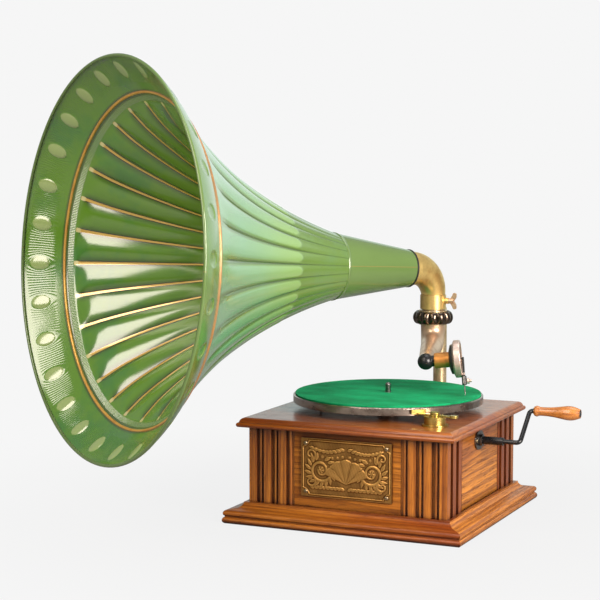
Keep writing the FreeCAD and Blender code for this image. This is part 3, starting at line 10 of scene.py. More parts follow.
import bmesh
import bpy
import numpy as np
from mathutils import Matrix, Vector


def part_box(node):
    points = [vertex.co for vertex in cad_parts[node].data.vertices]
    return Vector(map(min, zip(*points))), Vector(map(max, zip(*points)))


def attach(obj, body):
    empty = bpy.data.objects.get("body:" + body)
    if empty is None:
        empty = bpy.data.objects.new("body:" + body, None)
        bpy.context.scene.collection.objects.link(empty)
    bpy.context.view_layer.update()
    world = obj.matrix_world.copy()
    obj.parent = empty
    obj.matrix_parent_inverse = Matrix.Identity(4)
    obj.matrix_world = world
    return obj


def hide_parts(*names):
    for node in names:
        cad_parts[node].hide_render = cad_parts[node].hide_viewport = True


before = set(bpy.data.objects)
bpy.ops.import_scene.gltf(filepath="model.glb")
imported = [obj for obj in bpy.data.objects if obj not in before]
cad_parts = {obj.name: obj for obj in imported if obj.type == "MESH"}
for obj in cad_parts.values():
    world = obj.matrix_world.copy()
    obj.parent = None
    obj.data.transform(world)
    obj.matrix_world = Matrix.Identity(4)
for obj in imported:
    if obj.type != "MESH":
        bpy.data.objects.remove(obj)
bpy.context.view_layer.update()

# %% [markdown]
# ## Camera
# The photograph looks at the case's front from its right, a little from above, through a long lens.
# A camera could be placed by eye, but its place was worked out from the case's known corners, so the
# numbers here are the answer of that sum: a turn about the upright, a small drop and the lens.

# %% Camera
scene = bpy.context.scene
view_turn = math.radians(24.534)
view_drop = math.radians(5.426)
lens = bpy.data.cameras.new("camera")
lens.lens = 103.24
lens.sensor_width = 36.0
camera = bpy.data.objects.new("camera", lens)
camera.location = (0.84152, -2.11834, 0.50026)
camera.rotation_euler = (math.pi / 2 - view_drop, 0.0, view_turn)
scene.collection.objects.link(camera)
scene.camera = camera
print("camera:", round(camera.location.length, 2), "m from the case")

# %% [markdown]
# ## Shader helpers
# A finish is a small graph of nodes. Written out in full, each graph would take a page, so a few helpers add
# a node, feed its sockets in order and hand back one output. Colours are judged on a screen, so they are
# written as screen values and turned into the linear ones that a shader wants.

# %% Colour and node helpers
scene.view_settings.view_transform = "Standard"


def paint(red, green, blue):
    """A screen colour, 0 to 255 in each channel, as a linear colour with full cover."""
    screen = np.array([red, green, blue]) / 255.0
    linear = np.where(screen <= 0.04045, screen / 12.92, ((screen + 0.055) / 1.055) ** 2.4)
    return (*linear.tolist(), 1.0)


def feed(tree, value, socket):
    """Links another node's output to a socket, or sets the socket to a plain value."""
    if isinstance(value, bpy.types.NodeSocket):
        tree.links.new(value, socket)
    elif value is not None:
        socket.default_value = value


def node(tree, kind, *inputs, out=0, **settings):
    """Adds a node, sets its properties, feeds its inputs in order and returns one output."""
    made = tree.nodes.new("ShaderNode" + kind)
    for key, value in settings.items():
        setattr(made, key, value)
    for socket, value in zip(made.inputs, inputs):
        feed(tree, value, socket)
    return made.outputs[out]


def calc(tree, operation, *inputs):
    """One step of arithmetic on its inputs."""
    return node(tree, "Math", *inputs, operation=operation)


def between(tree, value, low, high, start=0.0, end=1.0):
    """A soft step: start below low, end above high."""
    return node(tree, "MapRange", value, low, high, start, end, interpolation_type="SMOOTHSTEP")


print("helpers ready, view transform", scene.view_settings.view_transform)

# %% [markdown]
# ## Daylight, floor and lamps
# The photograph is a cut-out on a pale ground, lit in a studio. Rays from the camera, and rays that go
# through clear mica, see the ground's paper colour. Mirrored rays see a quarter of it behind the object,
# where the backdrop stands, and a dim room elsewhere, so that polished metal and enamel keep their depth.

# %% World
paper = paint(246, 246, 246)


def ray_kind(tree, name):
    """1 for rays of a kind, such as Is Camera Ray, and 0 for all others."""
    light_path = tree.nodes.new("ShaderNodeLightPath")
    return light_path.outputs[name]


world = bpy.data.worlds.new("studio")
world.use_nodes = True
scene.world = world
sky = world.node_tree
room = sky.nodes["Background"]
room.inputs["Color"].default_value = (0.93, 0.97, 1.0, 1.0)
room.inputs["Strength"].default_value = 0.3
ground = node(sky, "Background", paper, 1.0)
heading = node(sky, "TexCoord", out=0)
away = (-math.sin(view_turn), math.cos(view_turn), 0.0)
behind = between(sky, node(sky, "VectorMath", heading, away, operation="DOT_PRODUCT", out=1), 0.8, 0.97)
rise = node(sky, "VectorMath", heading, (0.0, 0.0, 1.0), operation="DOT_PRODUCT", out=1)
low = between(sky, rise, 0.25, 0.5, 1.0, 0.0)
backdrop = calc(sky, "MULTIPLY", calc(sky, "MULTIPLY", behind, low), 0.25)
mirrored = calc(sky, "MULTIPLY", ray_kind(sky, "Is Glossy Ray"), backdrop)
direct = calc(sky, "MAXIMUM", ray_kind(sky, "Is Camera Ray"), ray_kind(sky, "Is Transmission Ray"))
blend = node(sky, "MixShader", calc(sky, "MAXIMUM", direct, mirrored), room.outputs[0], ground)
sky.links.new(blend, sky.nodes["World Output"].inputs["Surface"])
print("world:", world.name)

# %% [markdown]
# The floor is one large square. It takes a little of the case's shadow close by and glows in the paper's
# colour farther away, so there is no horizon. Every finish from here on starts as one Principled shader with
# a few constants, which is what the helper makes.

# %% Floor


def new_finish(name, **sockets):
    """A material with one Principled shader, with its constants set on the shader's own sockets."""
    material = bpy.data.materials.new(name)
    material.use_nodes = True
    shader = material.node_tree.nodes["Principled BSDF"]
    for socket, value in sockets.items():
        shader.inputs[socket.replace("_", " ")].default_value = value
    return material, material.node_tree, shader


floor_mesh = bpy.data.meshes.new("floor")
reach = 12.0
corners = [(-reach, -reach, 0.0), (reach, -reach, 0.0), (reach, reach, 0.0), (-reach, reach, 0.0)]
floor_mesh.from_pydata(corners, [], [(0, 1, 2, 3)])
floor = bpy.data.objects.new("floor", floor_mesh)
scene.collection.objects.link(floor)
floor_finish, floor_tree, floor_shader = new_finish("floor_paper", Roughness=0.9)
floor_shader.inputs["Base Color"].default_value = paint(140, 140, 140)
from_case = node(floor_tree, "VectorMath", node(floor_tree, "TexCoord", out=3), operation="LENGTH", out=1)
far = between(floor_tree, from_case, 0.15, 0.8, 0.92, 1.0)
plainly = calc(floor_tree, "MULTIPLY", ray_kind(floor_tree, "Is Camera Ray"), far)
glow = node(floor_tree, "Emission", paper, 1.0)
floor_blend = node(floor_tree, "MixShader", plainly, floor_shader.outputs[0], glow)
floor_tree.links.new(floor_blend, floor_tree.nodes["Material Output"].inputs["Surface"])
floor_mesh.materials.append(floor_finish)
print("floor:", 2 * reach, "m square")

# %% [markdown]
# Each lamp is a softbox, and its place follows from what it shows in the gloss. A ray from the camera to
# a petal, mirrored there, has to end in the lamp: the cream streaks inside the horn ask for one in front
# and above, and the mint fields outside ask for a broad pale wall far behind, ending on the right.

# %% Lamps


def soft_lamp(name, place, target, size, watts, colour):
    """An oblong area lamp at a place, facing a target, both in metres, unseen by the camera itself."""
    light = bpy.data.lights.new(name, "AREA")
    light.shape = "RECTANGLE"
    light.size, light.size_y = size
    light.energy = watts
    light.color = colour
    lamp = bpy.data.objects.new(name, light)
    scene.collection.objects.link(lamp)
    lamp.location = place
    lamp.visible_camera = False
    way = np.array(target) - np.array(place)
    level = math.hypot(way[0], way[1])
    lamp.rotation_euler = (math.pi / 2 + math.atan2(way[2], level), 0.0, math.atan2(-way[0], way[1]))


middle = (-0.1, 0.0, 0.25)
soft_lamp("key_lamp", (-0.54, -1.76, 1.42), (-0.44, -0.2, 0.27), (1.3, 1.75), 43.0, (1.0, 0.88, 0.78))
soft_lamp("side_lamp", (1.3, -0.7, 0.65), (0.1, 0.0, 0.15), (0.7, 0.8), 45.0, (1.0, 0.92, 0.84))
soft_lamp("top_lamp", (0.2, 0.4, 2.4), middle, (1.4, 1.4), 18.0, (0.95, 0.98, 1.0))
soft_lamp("back_wall", (-0.375, 1.95, 0.66), (-0.375, 0.0, 0.66), (4.25, 1.25), 7.8, (0.78, 1.0, 0.92))

# %% [markdown]
# ## Helpers for old surfaces
# Nothing on a machine of this age has one even colour. Five more helpers make that short to write: a strip of
# values with soft edges, a mix of two colours by a share, noise stretched along an axis, a bump from a
# height, and a measure of how closed in a place is. Tarnish gathers in corners, and shade falls there too,
# which the oak paints into its colour as painted shade.

# %% Helpers for old surfaces


def strip(tree, value, first, second, third, last):
    """1 from second to third, falling softly to 0 at first and at last: one soft step times another."""
    rise = between(tree, value, first, second)
    return calc(tree, "MULTIPLY", rise, between(tree, value, third, last, 1.0, 0.0))


def mix(tree, share, first, second):
    """The first colour times one minus the share, plus the second colour times the share."""
    made = tree.nodes.new("ShaderNodeMix")
    made.data_type = "RGBA"
    feed(tree, share, made.inputs[0])
    feed(tree, first, made.inputs[6])
    feed(tree, second, made.inputs[7])
    return made.outputs[2]


def noise(tree, place, stretch, detail=3.0, roughness=0.5):
    """Noise whose grain is one unit divided by stretch along each axis."""
    scaled = node(tree, "Mapping", place, None, None, stretch)
    return node(tree, "TexNoise", scaled, None, 1.0, detail, roughness)


def raise_bump(tree, shader, height, depth, rounding=None, coated=False):
    """Feeds the shader's normal from a height in units of depth, over edges rounded by a small radius."""
    made = tree.nodes.new("ShaderNodeBump")
    made.inputs["Distance"].default_value = depth
    feed(tree, height, made.inputs["Height"])
    if rounding:
        feed(tree, node(tree, "Bevel", rounding, samples=4), made.inputs["Normal"])
    tree.links.new(made.outputs[0], shader.inputs["Normal"])
    if coated:
        tree.links.new(made.outputs[0], shader.inputs["Coat Normal"])


def dirt_and_shade(tree, distance, own=True):
    """1 on open faces and 0 deep in corners: the piece's own ones, or those with its neighbours as well."""
    return node(tree, "AmbientOcclusion", None, distance, out=1, samples=6, only_local=own)


print("surface helpers ready")

# %% [markdown]
# ## Oak
# The case is varnished oak. Its growth rings are circles about a heart line that lies well outside the
# board and runs slightly askew, so a flat cut shows long pointed bands. Fine dark pores run with the
# grain. Each of these is a formula or a stretched noise, so no picture of wood is needed.

# %% Oak colour
rings_per_metre, ring_wander = 170.0, 3.2


def oak_colour(tree, grain):
    """Rings: distance to the heart line times rings per metre, plus a wander, kept to its fraction. Fine
    streaks and pores lie over them."""
    wander = noise(tree, grain, (2.2, 13.0, 13.0), 2.0)
    flat = node(tree, "VectorMath", grain, (0.05, 1.0, 1.0), operation="MULTIPLY")
    heart = node(tree, "VectorMath", flat, operation="LENGTH", out=1)
    askew = calc(tree, "MULTIPLY", wander, ring_wander)
    ring = calc(tree, "FRACT", calc(tree, "MULTIPLY_ADD", heart, rings_per_metre, askew))
    late = strip(tree, ring, 0.2, 0.9, 0.9, 1.0)
    streak = between(tree, noise(tree, grain, (5.0, 330.0, 330.0), 3.0, 0.6), 0.45, 0.68)
    pores = between(tree, noise(tree, grain, (40.0, 1300.0, 1300.0), 2.0, 0.6), 0.52, 0.68)
    cloud = between(tree, noise(tree, grain, (3.0, 10.0, 10.0), 3.0), 0.3, 0.7)
    ground = mix(tree, cloud, paint(128, 62, 14), paint(208, 134, 46))
    banded = mix(tree, calc(tree, "MULTIPLY", late, 0.5), ground, paint(74, 32, 10))
    streaked = mix(tree, calc(tree, "MULTIPLY", streak, 0.52), banded, paint(78, 33, 10))
    return mix(tree, calc(tree, "MULTIPLY", pores, 0.65), streaked, paint(46, 17, 6)), pores


print("oak:", rings_per_metre, "rings per metre")

# %% [markdown]
# Old polish lies over the wood, and the edges are worn round. In the flutes, in other closed corners and
# where the wood meets other parts, its colour is painted darker: partly old polish, partly painted shade. The
# boards differ in the way the grain runs, in gloss and in how much red stain is left, so one function makes
# them all.

# %% Oak boards
along_x = (0.0, 0.0, 0.0)
along_y = (0.0, 0.0, -math.pi / 2)
along_z = (0.0, math.pi / 2, 0.0)
red_stain, polish_and_shade = paint(116, 42, 8), paint(56, 21, 8)
pore_depth, worn_edge = 0.00012, 0.0009
varnish_gloss = {"Coat_Roughness": 0.16, "Specular_IOR_Level": 0.2}


def varnish(tree, shader, colour, pores, corner_reach):
    """Old polish and painted shade: dark in closed corners and beside neighbouring parts, and rougher in the
    pores, which are sunk a little.
    """
    # Painted shade: the colour darkens where corners or neighbouring parts close in, so the shade there is
    # painted in along with the old polish.
    open_face = between(tree, dirt_and_shade(tree, corner_reach, False), 0.3, 0.85)
    feed(tree, mix(tree, open_face, polish_and_shade, colour), shader.inputs["Base Color"])
    feed(tree, between(tree, pores, 0.0, 1.0, 0.34, 0.6), shader.inputs["Roughness"])
    raise_bump(tree, shader, calc(tree, "SUBTRACT", 1.0, pores), pore_depth, worn_edge)


def oak(name, turn, shift, gloss, stain):
    """Varnished oak whose grain runs along the axis that a turn brings to X, under a share of red stain."""
    material, tree, shader = new_finish(name, Coat_Weight=gloss, **varnish_gloss)
    grain = node(tree, "Mapping", node(tree, "TexCoord", out=3), shift, turn)
    colour, pores = oak_colour(tree, grain)
    varnish(tree, shader, mix(tree, stain, colour, red_stain), pores, 0.02)
    return material


oak_front = oak("oak_front", along_x, (0.72, 0.21, 0.02), 0.05, 0.0)
oak_side = oak("oak_side", along_y, (0.0, 0.25, 0.03), 0.35, 0.1)
oak_upright = oak("oak_upright", along_z, (0.0, 0.31, 0.19), 0.45, 0.25)
oak_top = oak("oak_top", along_x, (0.3, 0.12, 0.26), 0.6, 0.5)
print("oak:", oak_front.name, oak_side.name, oak_upright.name, oak_top.name)

# %% [markdown]
# The plinth's four lengths are mitred, so the grain turns at each corner. Its solids are one CAD node, so
# the finish asks which way a face looks: faces that look more to the front or back take grain along X,
# and the others take grain along Y.

# %% Plinth oak


def mitred_oak(name):
    """Oak whose grain runs along X on front and back faces and along Y on side faces."""
    material, tree, shader = new_finish(name, Coat_Weight=0.15, **varnish_gloss)
    place = node(tree, "TexCoord", out=3)
    front, front_pores = oak_colour(tree, node(tree, "Mapping", place, (0.2, 0.2, 0.07), along_x))
    side, side_pores = oak_colour(tree, node(tree, "Mapping", place, (0.1, 0.27, 0.05), along_y))
    normal = node(tree, "SeparateXYZ", node(tree, "NewGeometry", out=3))
    parts = normal.node.outputs
    lateral = calc(tree, "GREATER_THAN", calc(tree, "ABSOLUTE", parts[0]), calc(tree, "ABSOLUTE", parts[1]))
    pores = mix(tree, lateral, front_pores, side_pores)
    colour = mix(tree, 0.3, mix(tree, lateral, front, side), red_stain)
    varnish(tree, shader, colour, pores, 0.015)
    return material


oak_plinth = mitred_oak("oak_plinth")
print("plinth finish:", oak_plinth.name)

# %% [markdown]
# ## Metals
# Nickel plate, cast brass, lacquered brass, blued steel and japanned iron differ in colour and in how
# they age: nickel keeps fine scratches, brass goes brown in its corners, and japanned iron goes grey in
# patches. One function serves them all, with a tarnish colour that cloudy noise and closed corners bring in.

# %% Metal finishes


def metal(name, clean, tarnish, gloss, share, rounding=0.0005, metallic=1.0):
    """A metal that goes from clean to tarnished by cloudy noise and in its own corners."""
    material, tree, shader = new_finish(name, Metallic=metallic)
    place = node(tree, "TexCoord", out=3)
    cloud = noise(tree, place, (38.0, 38.0, 38.0), 5.0, 0.6)
    corner = between(tree, dirt_and_shade(tree, 0.006), 0.3, 0.9, 1.0, 0.0)
    aged = calc(tree, "MAXIMUM", calc(tree, "MULTIPLY", between(tree, cloud, 0.4, 0.75), share), corner)
    feed(tree, mix(tree, aged, clean, tarnish), shader.inputs["Base Color"])
    scratch = noise(tree, place, (900.0, 900.0, 120.0), 2.0, 0.6)
    uneven = calc(tree, "MULTIPLY_ADD", aged, 0.22, calc(tree, "MULTIPLY", scratch, 0.1))
    feed(tree, calc(tree, "ADD", uneven, gloss), shader.inputs["Roughness"])
    raise_bump(tree, shader, scratch, 0.00002, rounding)
    return material


nickel = metal("nickel_plate", paint(222, 202, 190), paint(140, 100, 76), 0.28, 0.7, metallic=0.8)
brass = metal("cast_brass", paint(240, 206, 130), paint(152, 104, 48), 0.24, 0.75, metallic=0.85)
dull_brass = metal("dull_brass", paint(206, 142, 72), paint(112, 62, 24), 0.28, 0.6, metallic=0.8)
copper_nickel = metal("worn_plate", paint(214, 182, 152), paint(156, 108, 74), 0.3, 0.7, metallic=0.8)
bright_brass = metal("lacquered_brass", paint(206, 178, 100), paint(140, 102, 44), 0.2, 0.6)
gear_brass = metal("gear_brass", paint(214, 176, 98), paint(150, 106, 52), 0.25, 0.5)
steel = metal("blued_steel", paint(120, 118, 116), paint(58, 50, 46), 0.22, 0.6)
screw_steel = metal("screw_heads", paint(170, 150, 118), paint(84, 62, 40), 0.25, 0.7)
black_iron = metal("japanned_iron", paint(24, 26, 28), paint(52, 48, 46), 0.2, 0.5, 0.0006, 0.3)
bracket_iron = metal("nickelled_casting", paint(226, 202, 160), paint(96, 68, 48), 0.2, 0.6, metallic=0.8)
collar_iron = metal("worn_casting", paint(104, 90, 78), paint(18, 14, 12), 0.12, 0.9)
rim_nickel = metal("worn_nickel", paint(168, 152, 140), paint(62, 46, 36), 0.14, 0.8)
print("metals:", nickel.name, brass.name, bright_brass.name, steel.name, black_iron.name)

# %% [markdown]
# ## Rubber, leather, mica, pine and the grip's wood
# The small pieces still get a finish with its own grain: moulded rubber is dull and slightly grainy,
# leather is pebbled, mica is a clear flaky sheet, the bottom board is plain pine and the crank's grip is
# turned from a light, straight-grained wood and varnished.

# %% Small finishes


def dull(name, ground, fleck, grain, gloss, depth):
    """A dull, grainy material: fleck over ground by fine noise, with the same noise as its bump."""
    material, tree, shader = new_finish(name)
    place = node(tree, "TexCoord", out=3)
    speck = noise(tree, place, (grain, grain, grain), 4.0, 0.6)
    feed(tree, mix(tree, between(tree, speck, 0.35, 0.7), ground, fleck), shader.inputs["Base Color"])
    feed(tree, calc(tree, "MULTIPLY_ADD", speck, 0.2, gloss), shader.inputs["Roughness"])
    raise_bump(tree, shader, speck, depth, 0.0005)
    return material


def straight_wood(name, pale, dark, turn, gloss):
    """Straight-grained wood: fine streaks along the axis that a turn brings to X."""
    material, tree, shader = new_finish(name, Coat_Weight=0.5, Coat_Roughness=0.12)
    grain = node(tree, "Mapping", node(tree, "TexCoord", out=3), None, turn)
    streak = noise(tree, grain, (14.0, 420.0, 420.0), 4.0, 0.6)
    cloud = noise(tree, grain, (30.0, 60.0, 60.0), 2.0)
    fine = calc(tree, "MULTIPLY", between(tree, streak, 0.4, 0.7), 0.6)
    share = calc(tree, "MULTIPLY_ADD", cloud, 0.5, fine)
    feed(tree, mix(tree, share, pale, dark), shader.inputs["Base Color"])
    feed(tree, calc(tree, "MULTIPLY_ADD", streak, 0.2, gloss), shader.inputs["Roughness"])
    raise_bump(tree, shader, streak, 0.00005, 0.0006)
    return material


rubber = dull("moulded_rubber", paint(20, 20, 20), paint(36, 34, 32), 700.0, 0.38, 0.00004)
leather = dull("pebbled_leather", paint(84, 52, 30), paint(52, 30, 16), 900.0, 0.55, 0.0002)
pine = straight_wood("plain_pine", paint(206, 168, 118), paint(164, 118, 70), along_x, 0.6)
grip_wood = straight_wood("turned_wood", paint(192, 122, 56), paint(118, 64, 24), along_x, 0.22)
mica, mica_tree, mica_shader = new_finish("mica_sheet", Roughness=0.12, Transmission_Weight=0.55, IOR=1.56)
flake = noise(mica_tree, node(mica_tree, "TexCoord", out=3), (160.0, 160.0, 160.0), 4.0)
mica_tone = mix(mica_tree, flake, paint(214, 204, 180), paint(170, 150, 116))
feed(mica_tree, mica_tone, mica_shader.inputs["Base Color"])
print("small finishes:", rubber.name, leather.name, pine.name, grip_wood.name, mica.name)

# %% [markdown]
# ## Dressing the CAD nodes
# A CAD node keeps its mesh and takes a finish in its material slots. The list below goes finish by
# finish through every board, casting, tube and gear whose shape needs nothing more.

# %% Give each CAD node its finish
dressing = {
    oak_front: ["front_panel", "back_panel"],
    oak_side: ["left_panel", "right_panel"],
    oak_upright: ["corner_pilasters"],
    oak_top: ["deck_board"],
    oak_plinth: ["plinth"],
    pine: ["bottom_board"],
    screw_steel: ["plaque_screws", "escutcheon_screws", "bracket_screws", "motor_screws"],
    rim_nickel: ["platter"],
    nickel: ["arm_ring_nut", "soundbox_case", "soundbox_back", "needle_screw"],
    bracket_iron: ["back_bracket"],
    black_iron: ["crank_rod", "deck_peg", "winding_bearing", "arm_ball_elbow"],
    steel: ["spindle", "crank_escutcheon", "winding_shaft", "stylus_bar", "needle", "motor_top_plate",
            "motor_low_plate", "motor_pillars", "spring_barrel", "barrel_cover", "mainspring", "barrel_arbor",
            "inter_arbor", "governor_shaft", "governor_springs", "speed_arm"],
    gear_brass: ["governor_drive_wheel", "winding_wheel", "inter_wheel", "governor_disc", "governor_weights",
                 "governor_bearings"],
    bright_brass: ["brake_base", "brake_lever"],
    brass: ["horn_elbow"],
    dull_brass: ["soundbox_neck"],
    copper_nickel: ["tone_arm", "wing_screw"],
    rubber: ["horn_gasket", "soundbox_flange"],
    leather: ["brake_pad"],
    mica: ["diaphragm"],
}


def dress(name, finish):
    """Puts one finish into every material slot of a CAD node."""
    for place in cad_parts[name].material_slots:
        place.material = finish


for finish, names in dressing.items():
    for name in names:
        dress(name, finish)
print("dressed", sum(len(names) for names in dressing.values()), "CAD nodes")

# %% [markdown]
# ## Making a piece from a grid
# Every new piece is a sheet of points with two parameters, such as depth and angle. Neighbouring points
# make four-sided faces, and a direction that comes back to its start is wrapped so that no seam is left.
# The grid's two parameters also become the piece's UV map, for patterns that follow the surface.

# %% Faces of a grid


def grid_faces(rows, columns, wrap_rows, wrap_columns, shares=None):
    """Corner numbers and UV places of every cell. Shares give each column's place in the turn, up to 1."""
    i = np.arange(rows if wrap_rows else rows - 1)
    j = np.arange(columns if wrap_columns else columns - 1)
    i, j = (a.ravel() for a in np.meshgrid(i, j, indexing="ij"))
    steps = np.array([(0, 0), (0, 1), (1, 1), (1, 0)])
    row = i[:, None] + steps[:, 0]
    column = j[:, None] + steps[:, 1]
    faces = (row % rows) * columns + column % columns
    across = column / columns if shares is None else np.asarray(shares)[column]
    uv = np.stack([across, row / rows], axis=-1)
    return faces, uv


print("grid faces ready")

# %% [markdown]
# A piece is then a mesh with its finish, and it rides on one of the CAD bodies, so that it moves with its
# joint. Points that fall together are merged, and only edges sharper than 50 degrees stay sharp.

# %% Piece from a grid
MM = 0.001
merge_reach, sharp_edge = 1e-6, math.radians(50)


def grid_piece(name, points, body, finishes, wrap_rows=False, wrap_columns=False, marks=None,
               which=None, shares=None):
    """A mesh from points (rows, columns, 3) in millimetres. Marks are float attributes of the points,
    which gives the finish of each row of faces, and the faces are turned to look outwards."""
    rows, columns = points.shape[:2]
    faces, uv = grid_faces(rows, columns, wrap_rows, wrap_columns, shares)
    mesh = bpy.data.meshes.new(name)
    mesh.from_pydata((points.reshape(-1, 3) * MM).tolist(), [], faces.tolist())
    mesh.uv_layers.new(name="UVMap").uv.foreach_set("vector", uv.astype(np.float32).ravel())
    for mark, values in (marks or {}).items():
        layer = mesh.attributes.new(mark, "FLOAT", "POINT")
        layer.data.foreach_set("value", np.broadcast_to(values, (rows, columns)).astype(np.float32).ravel())
    for finish in finishes:
        mesh.materials.append(finish)
    if which is not None:
        cells = len(faces) // len(which)
        mesh.polygons.foreach_set("material_index", np.repeat(which, cells).astype(np.int32))
    tidy = bmesh.new()
    tidy.from_mesh(mesh)
    bmesh.ops.remove_doubles(tidy, verts=tidy.verts, dist=merge_reach)
    bmesh.ops.recalc_face_normals(tidy, faces=tidy.faces)
    tidy.to_mesh(mesh)
    tidy.free()
    mesh.shade_smooth()
    mesh.set_sharp_from_angle(angle=sharp_edge)
    piece = bpy.data.objects.new(name, mesh)
    scene.collection.objects.link(piece)
    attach(piece, body)
    print(name + ":", len(mesh.polygons), "faces on", body)
    return piece


print("pieces are made in units of", MM, "m")

# %% [markdown]
# ## The horn's shape
# The horn is thin sheet: a bulging band at the mouth, then a bell of pressed petals that narrows like an
# exponential, then a plain cone. Its axis runs from the mouth back to the elbow's pivot. A point is given
# by its depth behind the mouth, its radius and its angle, and one function places it in the room.

# %% Horn axis and profile
horn_turn = math.radians(33.1)
horn_rise = math.radians(3.5)
horn_pivot = np.array([10.0, 155.0, 315.0])
horn_reach = 511.0
petals = 28
first_ridge = math.radians(-4.0)
sheet = 1.0
mouth_radius, band_radius, throat_radius = 257.0, 212.0, 46.0
band_depth, bell_depth, band_bulge, flare_rate = 45.0, 337.0, 3.8, 0.0043
ring_depth = 43.5
level = math.cos(horn_rise)
horn_out = np.array([-math.sin(horn_turn) * level, -math.cos(horn_turn) * level, math.sin(horn_rise)])
mouth = horn_pivot + horn_reach * horn_out
horn_left = np.cross(horn_out, (0.0, 0.0, 1.0))
horn_left /= np.linalg.norm(horn_left)
horn_up = np.cross(-horn_out, horn_left)


def on_horn(depth, radius, angle):
    """Mouth centre, plus depth along the axis, plus radius in the direction of angle from left to up."""
    depth, radius, angle = (a[..., None] for a in np.broadcast_arrays(depth, radius, angle))
    return mouth - depth * horn_out + radius * (np.cos(angle) * horn_left + np.sin(angle) * horn_up)


def flare(depth):
    """Crown radius: a straight line plus a bulge in the band, then a falling exponential to the throat."""
    share = np.clip(depth / band_depth, 0.0, 1.0)
    band = mouth_radius + (band_radius - mouth_radius) * share + 4 * band_bulge * share * (1 - share)
    decay = math.exp(-flare_rate * (bell_depth - band_depth))
    offset = (band_radius * decay - throat_radius) / (1 - decay)
    bell = (band_radius + offset) * np.exp(-flare_rate * (depth - band_depth)) - offset
    return np.where(depth <= band_depth, band, bell)


def sheet_step(depth):
    """How much the radius changes through the sheet: its thickness times the slant of the profile."""
    slope = flare(depth + 0.5) - flare(depth - 0.5)
    return sheet * np.hypot(1.0, slope)


print("horn mouth at", np.round(mouth, 1), "mm")

# %% [markdown]
# ## Horn paint
# Outside, the sheet is enamelled a light green. Each petal's raised panel is painted paler as a reflection of
# the pale backdrop, and the grooves are painted dark as shade. A pattern like this follows the sheet, so the
# mesh carries it as attributes: the depth behind the mouth, the distance from the nearest groove as a share
# of half a petal, the heights of panels and bosses, and the bend of the ripples round each boss.

# %% Pattern outside


def mark(tree, name):
    """One of the mesh's own point attributes."""
    return node(tree, "Attribute", attribute_name=name, out=2)


def panel_pattern(tree, colour):
    """A painted reflection on the raised panel of each petal, paler and yellower towards its tip, and painted
    shade in the grooves.
    """
    depth, side, panel = (mark(tree, name) for name in ("depth_mm", "side", "panel"))
    # Painted reflection: the raised panels are painted paler, bluer near the mouth and yellower towards their
    # tips.
    pale = mix(tree, between(tree, depth, 110.0, 230.0), paint(126, 172, 136), paint(142, 178, 108))
    colour = mix(tree, calc(tree, "MULTIPLY", panel, 0.55), colour, pale)
    # Painted shade: the grooves are painted dark, less so towards the throat.
    past_ring = between(tree, depth, 50.0, 80.0)
    groove = calc(tree, "MULTIPLY", between(tree, side, 0.05, 0.24, 1.0, 0.0), past_ring)
    groove_shade = calc(tree, "MULTIPLY", groove, between(tree, depth, 200.0, 300.0, 0.6, 0.35))
    return mix(tree, groove_shade, colour, paint(46, 70, 28))


print("panel pattern ready")

# %% [markdown]
# Inside, the same green lies deeper. Painted shade darkens it towards the throat and beside the valleys
# between the petals, which are lined with gold between painted shadow borders. The gold lines' ends are
# painted pale as a highlight, and a painted shadow band runs along both sides of the gold ring. The bosses
# are painted paler as a highlight, and a narrow knurled ring is painted with a pale sheen.
# Ripples and knurls stand out by a tenth or two of a millimetre, which bump can draw: both are sines of the
# turn about the axis, which is the UV map's first number.

# %% Pattern inside
ripples, knurls = 12, 560
ripple_height, knurl_height = 0.12, 0.2


def fine_relief(tree, depth, height):
    """Ripples and knurls: sines of the turn, each kept to its own strip of depths. Also the knurls' painted
    sheen.
    """
    turn = node(tree, "SeparateXYZ", node(tree, "TexCoord", out=2))
    wave = calc(tree, "MULTIPLY_ADD", turn, 2 * math.pi * petals * ripples, mark(tree, "bend"))
    ripple = calc(tree, "MULTIPLY", calc(tree, "SINE", wave), strip(tree, depth, 4.0, 9.0, 30.0, 36.0))
    rib = calc(tree, "SINE", calc(tree, "MULTIPLY", turn, 2 * math.pi * knurls))
    knurl = strip(tree, depth, 46.0, 46.8, 51.5, 52.5)
    height = calc(tree, "MULTIPLY_ADD", ripple, ripple_height, height)
    height = calc(tree, "MULTIPLY_ADD", calc(tree, "MULTIPLY", rib, knurl), knurl_height, height)
    return height, calc(tree, "MULTIPLY", knurl, calc(tree, "MULTIPLY_ADD", rib, 0.2, 0.18))


